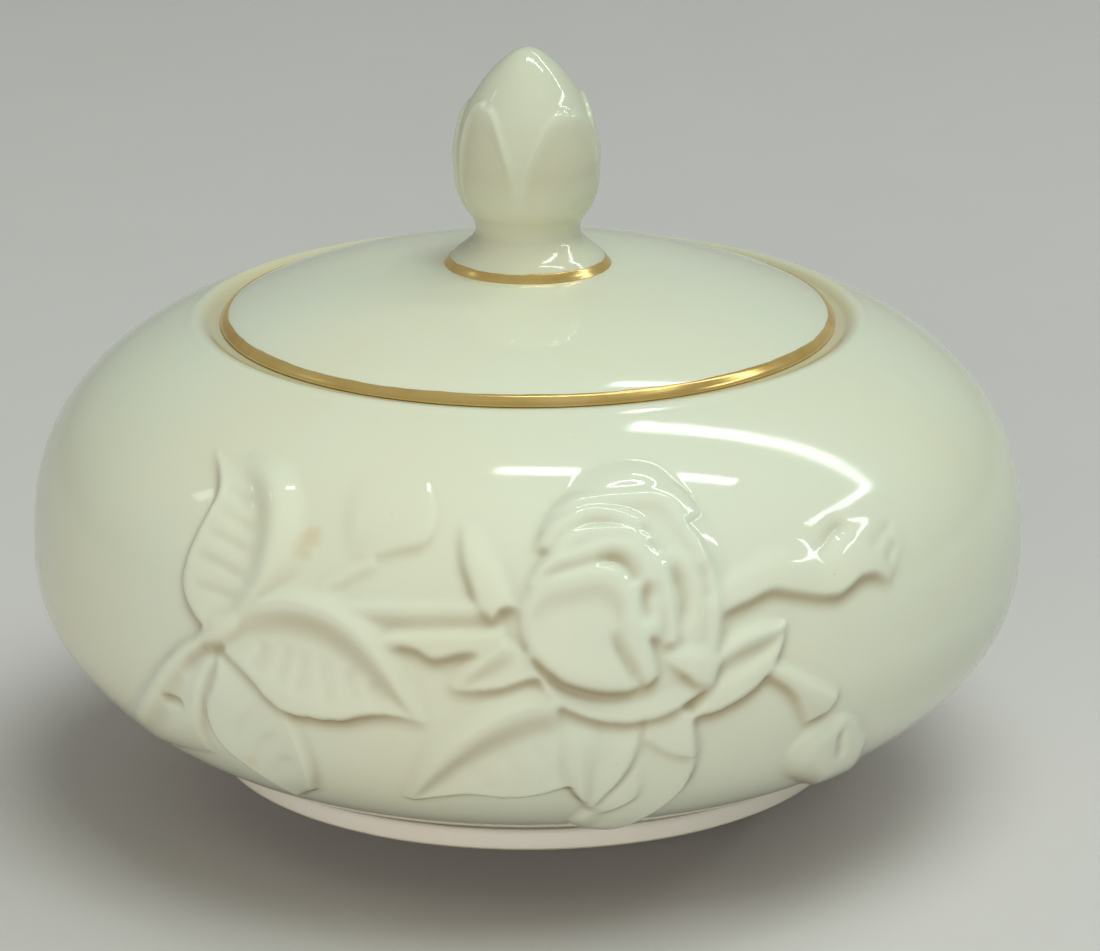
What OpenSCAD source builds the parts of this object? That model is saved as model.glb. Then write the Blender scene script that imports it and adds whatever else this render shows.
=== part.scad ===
// Porcelain trinket box: a squat round bowl with a rose spray in low relief,
// a lift-off lid with a gilded rim, and a rosebud knob.
// Millimetres, +Z up, origin at the centre of the foot's resting face.
// The bowl's front faces -Y. Relief positions are [degrees round from the
// front, height], with positive degrees towards +X.

/* [Bowl] */
// Radius of the bowl at its widest
belly_r = 63.5; // [60:0.5:68]
// Height of the widest point above the table
belly_z = 27.5; // [26:0.5:29]
// Height of the upper superellipse above the widest point
upper_h = 34.95; // [34:0.05:36]
// Fullness of the shoulder
upper_n = 2.6; // [2.4:0.1:2.8]
// Height of the lower superellipse below the widest point
lower_h = 31.25; // [30.5:0.05:32]
// Fullness of the underside
lower_n = 2.1; // [2:0.1:2.3]
// Thickness of the fired wall
wall = 3.4; // [2.8:0.1:4]

/* [Mouth and seat] */
// Radius of the crest round the mouth
crest_r = 42.3; // [42:0.1:43]
// Height of the flat ledge that the lid rests on
seat_z = 56.4; // [56.2:0.05:56.5]
// Outer radius of the flat ledge
seat_r = 40; // [39.6:0.1:40.4]
// Radius of the mouth
mouth_r = 35.5; // [35.3:0.1:36.5]

/* [Foot] */
// Outer radius of the foot ring where it meets the table
foot_r = 41; // [40:0.5:42]
// Inner radius of the foot ring
foot_in_r = 36.5; // [34:0.5:37.5]
// Height of the foot ring
foot_h = 3.75; // [3.4:0.05:4]

/* [Lid] */
// Radius of the lid at its lower edge
lid_r = 39.2; // [38.8:0.1:39.3]
// Radius of the arris above the gilded band
arris_r = 38.3; // [38:0.1:38.5]
// Height of the gilded band
band_h = 1.25; // [1:0.05:1.5]
// Rise of the lid's dome above the arris
dome_h = 6.26; // [5.5:0.1:7]
// Exponent of the dome, higher is flatter on top
dome_n = 2.8; // [2.4:0.1:3.2]
// Thickness of the lid
lid_t = 3.3; // [2.8:0.1:3.6]
// Free height between the lid and its ledge
seat_gap = 0.05; // [0.03:0.01:0.1]
// Outer radius of the ring under the lid that drops into the mouth
flange_r = 34.9; // [34.4:0.1:35]
// Wall of that ring
flange_t = 3.1; // [2.5:0.1:3.4]
// Height of that ring
flange_h = 5.95; // [4:0.05:6.5]

/* [Knob] */
// Radius of the knob's foot
knob_foot_r = 10.37; // [10:0.1:11]
// Radius of the knob's neck
knob_neck_r = 6.62; // [6:0.1:7.5]
// Height at which the neck is thinnest
knob_neck_z = 68.18; // [67.6:0.1:69]
// Radius of the bud at its widest
bud_r = 9.54; // [9:0.1:10.2]
// Height of the bud's widest point
bud_z = 77.8; // [77:0.1:79]
// Height of the bud's tip
tip_z = 91.8; // [90:0.1:93]
// Thickness of the bud's outer petals
petal_t = 0.9; // [0.6:0.1:1.2]

/* [Gilding] */
// Depth of the gilded bands
gilt = 0.35; // [0.3:0.05:0.5]
// Height of the gilded band round the knob's foot
knob_band_h = 1.1; // [0.9:0.1:1.3]

/* [Relief] */
// How far a leaf stands out of the bowl
leaf_rise = 1.3; // [0.8:0.1:1.8]
// How far the rose stands out of the bowl
rose_rise = 2; // [1.2:0.1:2.6]
// How far the relief is keyed into the wall
key = 0.45; // [0.3:0.05:0.6]

/* [Hidden] */
$fn = 96;

lid_z = seat_z + seat_gap;
arris_z = lid_z + band_h;
knob_z = dome_z(knob_foot_r);
bud_base_z = knob_neck_z + 0.4;

// Outline of the bowl's outside, as the radius at a height
function bowl_out(z) =
  z >= belly_z
    ? belly_r * pow(max(0, 1 - pow((z - belly_z) / upper_h, upper_n)), 1 / upper_n)
    : belly_r * pow(max(0, 1 - pow((belly_z - z) / lower_h, lower_n)), 1 / lower_n);

// Height on the bowl's outside at a radius, above or below the belly
function bowl_top(r) = belly_z + upper_h * pow(1 - pow(r / belly_r, upper_n), 1 / upper_n);
function bowl_under(r) = belly_z - lower_h * pow(1 - pow(r / belly_r, lower_n), 1 / lower_n);

// Outline of the lid's top
function dome_z(r) = arris_z + dome_h * (1 - pow(r / arris_r, dome_n));

// Outline of the knob, as the radius at a height
function knob_out(z) =
  z < knob_neck_z
    ? knob_neck_r + (knob_foot_r - knob_neck_r)
        * pow(max(0, cos(90 * (z - knob_z) / (knob_neck_z - knob_z))), 1.8)
    : z < bud_z
      ? knob_neck_r + (bud_r - knob_neck_r) * sin(90 * (z - knob_neck_z) / (bud_z - knob_neck_z))
      : bud_r * pow(max(0, 1 - pow((z - bud_z) / (tip_z - bud_z), 1.9)), 0.78);

// A point standing h out of a turned surface whose outline is f
function on_skin(f, a, z, h) =
  let (g = (f(z + 0.05) - f(z - 0.05)) / 0.1, k = sqrt(1 + g * g), r = f(z) + h / k)
  [r * sin(a), -r * cos(a), z - h * g / k];

// Quadratic curve through its ends, pulled towards its middle point
function bend(p, t) = (1 - t) * (1 - t) * p[0] + 2 * t * (1 - t) * p[1] + t * t * p[2];
function heading(p, t) =
  let (d = 2 * (1 - t) * (p[1] - p[0]) + 2 * t * (p[2] - p[1])) d / norm(d);

// A leaf or petal laid on a turned surface: mid line p in [degrees, height],
// half width w, rise h. blunt widens the far end, m is millimetres a degree.
module blade(f, m, p, w, h, blunt = 1, nt = 9, ns = 4) {
  q = [for (v = p) [v[0] * m, v[1]]];
  top = [
    for (i = [0:nt]) let (
      t = 0.03 + 0.94 * i / nt,
      c = bend(q, t), d = heading(q, t),
      b = w * pow(sin(180 * pow(t, blunt)), 0.75)
    )
    for (j = [0:ns]) let (
      s = 2 * j / ns - 1,
      u = c + s * b * [-d[1], d[0]],
      e = h * (0.12 + 0.88 * pow(sin(180 * pow(t, blunt)), 0.6) * (1 - pow(abs(s), 2.4)))
    )
    on_skin(f, u[0] / m, u[1], e)
  ];
  under = [
    for (i = [0:nt]) let (
      t = 0.03 + 0.94 * i / nt,
      c = bend(q, t), d = heading(q, t),
      b = w * pow(sin(180 * pow(t, blunt)), 0.75)
    )
    for (j = [0:ns]) let (s = 2 * j / ns - 1, u = c + s * b * [-d[1], d[0]])
    on_skin(f, u[0] / m, u[1], -key)
  ];
  n = (nt + 1) * (ns + 1);
  k = ns + 1;
  faces = concat(
    [for (i = [0:nt - 1], j = [0:ns - 1]) each [
      [i * k + j, i * k + j + 1, (i + 1) * k + j + 1],
      [i * k + j, (i + 1) * k + j + 1, (i + 1) * k + j]]],
    [for (i = [0:nt - 1], j = [0:ns - 1]) each [
      [n + i * k + j, n + (i + 1) * k + j + 1, n + i * k + j + 1],
      [n + i * k + j, n + (i + 1) * k + j, n + (i + 1) * k + j + 1]]],
    [for (i = [0:nt - 1]) each [
      [i * k, (i + 1) * k, n + (i + 1) * k],
      [i * k, n + (i + 1) * k, n + i * k],
      [i * k + ns, n + i * k + ns, n + (i + 1) * k + ns],
      [i * k + ns, n + (i + 1) * k + ns, (i + 1) * k + ns]]],
    [for (j = [0:ns - 1]) each [
      [j, n + j, n + j + 1],
      [j, n + j + 1, j + 1],
      [nt * k + j, nt * k + j + 1, n + nt * k + j + 1],
      [nt * k + j, n + nt * k + j + 1, n + nt * k + j]]]
  );
  polyhedron(points = concat(top, under), faces = faces, convexity = 4);
}

// Millimetres of the bowl's skin for one degree round the axis
deg_bowl = PI / 180 * belly_r * 0.95;
deg_bud = PI / 180 * bud_r;

bowl_skin = function(z) bowl_out(z);
bud_skin = function(z) knob_out(z) - petal_t;

module leaf(p, w, h = leaf_rise, blunt = 1) blade(bowl_skin, deg_bowl, p, w, h, blunt);

// A rounded stem along the skin, tapering from r0 to r1
module stem(p, r0, r1, steps = 8) {
  for (i = [0:steps - 1])
    hull() for (t = [i / steps, (i + 1) / steps])
      let (c = bend(p, t))
      translate(on_skin(bowl_skin, c[0], c[1], 0.2))
        sphere(r = r0 + (r1 - r0) * t, $fn = 8);
}

// The rim of the rose's rolled heart, a spiral on the skin
module heart(a, z, r0, r1, turns, steps = 16) {
  for (i = [0:steps - 1])
    hull() for (t = [i / steps, (i + 1) / steps])
      let (r = r0 + (r1 - r0) * t, w = 360 * turns * t)
      translate(on_skin(bowl_skin, a + r * cos(w) / deg_bowl, z + r * sin(w), rose_rise - 0.5))
        sphere(r = 0.9, $fn = 8);
}

module rose() {
  // Outer petals
  leaf([[9, 40], [0, 35], [3, 27]], 6.5, rose_rise * 0.7, 1.3);
  leaf([[9, 40], [10, 30], [15, 25]], 8, rose_rise * 0.75, 1.3);
  leaf([[10, 40], [18, 36], [21, 31]], 6.5, rose_rise * 0.7, 1.3);
  leaf([[10, 40], [20, 44], [20, 49]], 6, rose_rise * 0.7, 1.3);
  leaf([[9, 40], [7, 47], [9, 51]], 7.5, rose_rise * 0.75, 1.3);
  leaf([[9, 40], [3, 43], [-1, 46]], 6, rose_rise * 0.65, 1.3);
  // Cupped petals round the heart
  leaf([[9, 42], [6, 36], [6, 29]], 7.5, rose_rise, 1.3);
  leaf([[9, 38], [15, 38], [18, 44]], 5, rose_rise, 1.3);
  heart(8.5, 42, 1, 5, 1.6);
}

module left_spray() {
  leaf([[-37, 33], [-37, 43], [-35, 52]], 6);
  leaf([[-35, 32], [-23, 37], [-12, 25]], 6);
  leaf([[-35, 31], [-33, 19], [-30, 9]], 4.6);
  leaf([[-37, 32], [-45, 28], [-52, 16]], 4.4);
  leaf([[-22, 40], [-20, 45], [-20, 51]], 4, 0.8);
  stem([[-35, 33], [-20, 40], [-2, 37]], 1.1, 0.9, 10);
}

module lower_leaves() {
  leaf([[3, 24], [-7, 24], [-13, 13]], 6);
  leaf([[12, 25], [17, 16], [7, 7]], 6.5);
  leaf([[0, 36], [-8, 38], [-17, 34]], 2.6, 1);
  leaf([[1, 34], [-4, 31], [-8, 29.5]], 2.4, 1);
  leaf([[-2, 38], [-5, 42], [-7, 47]], 2.6, 1);
  stem([[2, 34], [0, 28], [2, 22]], 0.9, 0.9, 8);
}

module bud_spray() {
  leaf([[17, 27], [22, 30], [28, 34]], 4.4);
  leaf([[21, 38], [28, 43], [37, 42]], 3, 1);
  leaf([[33, 22], [38, 19], [44, 11]], 6, 2);
  leaf([[34, 39], [40, 41], [47, 41]], 4.6, 2);
  stem([[19, 32], [27, 31], [35, 23]], 1.3, 1, 8);
  stem([[20, 37], [29, 39], [38, 39]], 1.3, 1, 8);
}

module bowl_shell() {
  n = 26;
  under_a = 42.75;
  top_in = bowl_top(crest_r) - wall - 0.6;
  in_r = belly_r - wall;
  floor_z = foot_h + wall + 0.2;
  out_low = [for (i = [0:n]) let (a = 90 * i / n,
    r = under_a + (belly_r - under_a) * sin(a)) [r, bowl_under(r)]];
  out_high = [for (i = [1:n]) let (a = 90 * i / n,
    r = crest_r + (belly_r - crest_r) * cos(a)) [r, bowl_top(r)]];
  gutter = [[crest_r - 0.9, bowl_top(crest_r) - 0.1], [crest_r - 1.6, seat_z + 0.25], [seat_r, seat_z]];
  in_high = [for (i = [0:n]) let (a = 90 * i / n,
    z = belly_z + (top_in - belly_z) * cos(a))
    [in_r * pow(1 - pow((z - belly_z) / (upper_h - wall), upper_n), 1 / upper_n), z]];
  in_low = [for (i = [1:n]) let (a = 90 * i / n,
    z = belly_z - (belly_z - floor_z) * sin(a))
    [in_r * pow(1 - pow((belly_z - z) / (lower_h - wall), lower_n), 1 / lower_n), z]];
  color([0.93, 0.93, 0.87])
    rotate_extrude()
      polygon(concat(
        [[0, foot_h], [under_a, foot_h]],
        [for (p = out_low) if (p[1] > foot_h + 0.02) p],
        out_high, gutter,
        [[mouth_r + 0.4, seat_z], [mouth_r, seat_z - 0.4], [mouth_r, top_in]],
        in_high, in_low, [[0, floor_z]]));
}

module foot_ring() {
  color([0.86, 0.85, 0.78])
    rotate_extrude()
      polygon([
        [foot_in_r + 0.6, 0], [foot_r - 0.5, 0], [foot_r - 0.1, 0.2],
        [foot_r, 0.6], [foot_r + 0.1, 2.6], [42.75, foot_h],
        [foot_in_r, foot_h], [foot_in_r, 0.8]]);
}

module on_front() color([0.95, 0.95, 0.89]) children();
module on_back() color([0.95, 0.95, 0.89]) rotate([0, 0, 180]) children();

module rose_front() on_front() rose();
module rose_back() on_back() rose();
module left_spray_front() on_front() left_spray();
module left_spray_back() on_back() left_spray();
module lower_leaves_front() on_front() lower_leaves();
module lower_leaves_back() on_back() lower_leaves();
module bud_spray_front() on_front() bud_spray();
module bud_spray_back() on_back() bud_spray();

module lid_dome() {
  n = 22;
  hollow_r = flange_r - flange_t;
  color([0.94, 0.94, 0.88])
    rotate_extrude()
      polygon(concat(
        [[hollow_r, lid_z], [lid_r - gilt, lid_z], [arris_r - gilt, arris_z],
         [arris_r, arris_z]],
        [for (i = [1:n]) let (r = arris_r - (arris_r - knob_foot_r) * i / n) [r, dome_z(r)]],
        [[0, knob_z], [0, dome_z(0) - lid_t]],
        [for (i = [1:n]) let (r = hollow_r * i / n) [r, dome_z(r) - lid_t]]));
}

module lid_flange() {
  color([0.90, 0.89, 0.82])
    rotate_extrude()
      polygon([
        [flange_r - flange_t, lid_z], [flange_r - flange_t, lid_z - flange_h + 0.8],
        [flange_r - flange_t + 0.8, lid_z - flange_h], [flange_r - 0.8, lid_z - flange_h],
        [flange_r, lid_z - flange_h + 0.8], [flange_r, lid_z]]);
}

module lid_rim_gilding() {
  color("goldenrod")
    rotate_extrude()
      polygon([[lid_r - gilt, lid_z], [lid_r, lid_z], [arris_r, arris_z], [arris_r - gilt, arris_z]]);
}

// Heights of the stations up the knob's gilded band
function band_steps() = [for (i = [0:4]) knob_z + knob_band_h * i / 4];

module knob_neck() {
  n = 14;
  color([0.94, 0.94, 0.88])
    rotate_extrude()
      polygon(concat(
        [[0, knob_z]],
        [for (z = band_steps()) [knob_out(z) - gilt, z]],
        [for (i = [0:n]) let (z = knob_z + knob_band_h + (bud_base_z - knob_z - knob_band_h) * i / n)
          [knob_out(z), z]],
        [[0, bud_base_z]]));
}

module knob_gilding() {
  color("goldenrod")
    rotate_extrude()
      polygon(concat(
        [for (z = band_steps()) [knob_out(z), z]],
        [for (i = [4:-1:0]) let (z = band_steps()[i]) [knob_out(z) - gilt, z]]));
}

module knob_bud() {
  n = 26;
  color([0.95, 0.95, 0.89])
    rotate_extrude()
      polygon(concat(
        [[0, bud_base_z], [knob_out(bud_base_z), bud_base_z]],
        [for (i = [1:n - 1]) let (z = bud_base_z + (tip_z - bud_base_z) * sin(90 * i / n),
            in = petal_t * min(1, (z - bud_base_z) / 2) * min(1, max(0, (tip_z - 4 - z) / 2.5)))
          [knob_out(z) - in, z]],
        [[0, tip_z]]));
}

module knob_petals() {
  color([0.96, 0.96, 0.90])
    for (a = [-50, 40, 130, 220])
      blade(bud_skin, deg_bud, [[a, 70.4], [a, 79], [a + 4, 87.2]], 6.6, petal_t, 1.1, 12, 6);
}

bowl_shell();
foot_ring();
rose_front();
rose_back();
left_spray_front();
left_spray_back();
lower_leaves_front();
lower_leaves_back();
bud_spray_front();
bud_spray_back();
lid_dome();
lid_flange();
lid_rim_gilding();
knob_neck();
knob_gilding();
knob_bud();
knob_petals();
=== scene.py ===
import math
import bpy
import numpy as np
from mathutils import Matrix, Vector


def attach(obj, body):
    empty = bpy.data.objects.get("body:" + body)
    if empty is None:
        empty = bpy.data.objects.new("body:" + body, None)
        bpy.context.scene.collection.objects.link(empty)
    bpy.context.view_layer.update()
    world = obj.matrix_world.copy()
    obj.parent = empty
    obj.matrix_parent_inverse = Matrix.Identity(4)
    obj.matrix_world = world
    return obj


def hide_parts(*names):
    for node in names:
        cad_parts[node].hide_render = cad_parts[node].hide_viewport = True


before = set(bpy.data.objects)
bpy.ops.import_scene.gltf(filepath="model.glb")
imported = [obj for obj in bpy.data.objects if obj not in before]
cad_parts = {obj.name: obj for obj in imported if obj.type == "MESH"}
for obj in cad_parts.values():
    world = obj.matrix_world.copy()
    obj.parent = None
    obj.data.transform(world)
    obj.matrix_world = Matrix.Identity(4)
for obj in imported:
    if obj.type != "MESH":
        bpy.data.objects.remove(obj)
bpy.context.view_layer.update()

scene = bpy.context.scene
scene.view_settings.view_transform = "Standard"

# ---------------------------------------------------------------- camera
# Lengths below are millimetres until a mesh is made, when they become metres.
CAM_D, CAM_E, CAM_T = 600.0, 0.3048, 40.0
YAW, PITCH, ROLL = 0.0047, -0.0074, -0.0008


def make_camera():
    eye = np.array([0, -CAM_D * math.cos(CAM_E), CAM_T + CAM_D * math.sin(CAM_E)])
    fwd = np.array([0, 0, CAM_T]) - eye
    fwd /= np.linalg.norm(fwd)
    right = np.array([1.0, 0, 0])
    up = np.cross(right, fwd)
    f2 = fwd * math.cos(YAW) + right * math.sin(YAW)
    r2 = right * math.cos(YAW) - fwd * math.sin(YAW)
    f3 = f2 * math.cos(PITCH) + up * math.sin(PITCH)
    u3 = up * math.cos(PITCH) - f2 * math.sin(PITCH)
    r4 = r2 * math.cos(ROLL) + u3 * math.sin(ROLL)
    u4 = u3 * math.cos(ROLL) - r2 * math.sin(ROLL)
    data = bpy.data.cameras.new("camera")
    data.sensor_width = 36
    data.lens = 152.78
    data.clip_start, data.clip_end = 0.02, 20
    cam = bpy.data.objects.new("camera", data)
    scene.collection.objects.link(cam)
    m = Matrix.Identity(4)
    for i in range(3):
        m[i][0], m[i][1], m[i][2], m[i][3] = r4[i], u4[i], -f3[i], eye[i] * 0.001
    cam.matrix_world = m
    scene.camera = cam


make_camera()

# ---------------------------------------------------------------- profiles
R0, ZB = 63.5, 27.5


def smooth(pts, n):
    """Centripetal Catmull-Rom curve through pts, n points evenly along it."""
    p = np.asarray(pts, float)
    p = p[np.r_[True, np.linalg.norm(np.diff(p, axis=0), axis=1) > 1e-9]]
    if len(p) == 2:
        t = np.linspace(0, 1, n)[:, None]
        return p[0] * (1 - t) + p[1] * t
    a, b = 2 * p[0] - p[1], 2 * p[-1] - p[-2]
    q = np.vstack([a, p, b])
    out = []
    for i in range(len(p) - 1):
        p0, p1, p2, p3 = q[i : i + 4]
        t0 = 0.0
        t1 = t0 + max(np.linalg.norm(p1 - p0), 1e-9) ** 0.5
        t2 = t1 + max(np.linalg.norm(p2 - p1), 1e-9) ** 0.5
        t3 = t2 + max(np.linalg.norm(p3 - p2), 1e-9) ** 0.5
        t = np.linspace(t1, t2, 24, endpoint=i == len(p) - 2)[:, None]
        a1 = (t1 - t) / (t1 - t0) * p0 + (t - t0) / (t1 - t0) * p1
        a2 = (t2 - t) / (t2 - t1) * p1 + (t - t1) / (t2 - t1) * p2
        a3 = (t3 - t) / (t3 - t2) * p2 + (t - t2) / (t3 - t2) * p3
        b1 = (t2 - t) / (t2 - t0) * a1 + (t - t0) / (t2 - t0) * a2
        b2 = (t3 - t) / (t3 - t1) * a2 + (t - t1) / (t3 - t1) * a3
        out.append((t2 - t) / (t2 - t1) * b1 + (t - t1) / (t2 - t1) * b2)
    return resample(np.vstack(out), n)


def resample(c, n):
    d = np.r_[0, np.cumsum(np.linalg.norm(np.diff(c, axis=0), axis=1))]
    s = np.linspace(0, d[-1], n)
    return np.stack([np.interp(s, d, c[:, k]) for k in range(c.shape[1])], 1)


def superellipse(rad, height, power, z0, a0, a1, n=3000):
    a = np.linspace(a0, a1, n)
    r = rad * np.cos(a) ** (2 / power)
    z = z0 + height * np.sin(np.abs(a)) ** (2 / power) * np.sign(a)
    return np.stack([r, z], 1)


def low_end(r, rad, power):
    return math.acos((r / rad) ** (power / 2))


OUT_LOW = superellipse(R0, 31.25, 2.1, ZB, -low_end(42.75, R0, 2.1), 0)
OUT_HIGH = superellipse(R0, 34.95, 2.6, ZB, 0, low_end(42.9, R0, 2.6))
IN_HIGH = superellipse(60.1, 31.55, 2.6, ZB, low_end(43.6, 60.1, 2.6), 0)
IN_LOW = superellipse(60.1, 27.85, 2.1, ZB, 0, -low_end(33.0, 60.1, 2.1))


def dedupe(c):
    return c[np.r_[True, np.linalg.norm(np.diff(c, axis=0), axis=1) > 1e-7]]


def frames(path):
    """Unit outward normal (r, z) at each point of a path that has the solid on its left going up the outside."""
    t = np.gradient(path, axis=0)
    t /= np.linalg.norm(t, axis=1)[:, None]
    return np.stack([t[:, 1], -t[:, 0]], 1)


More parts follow.
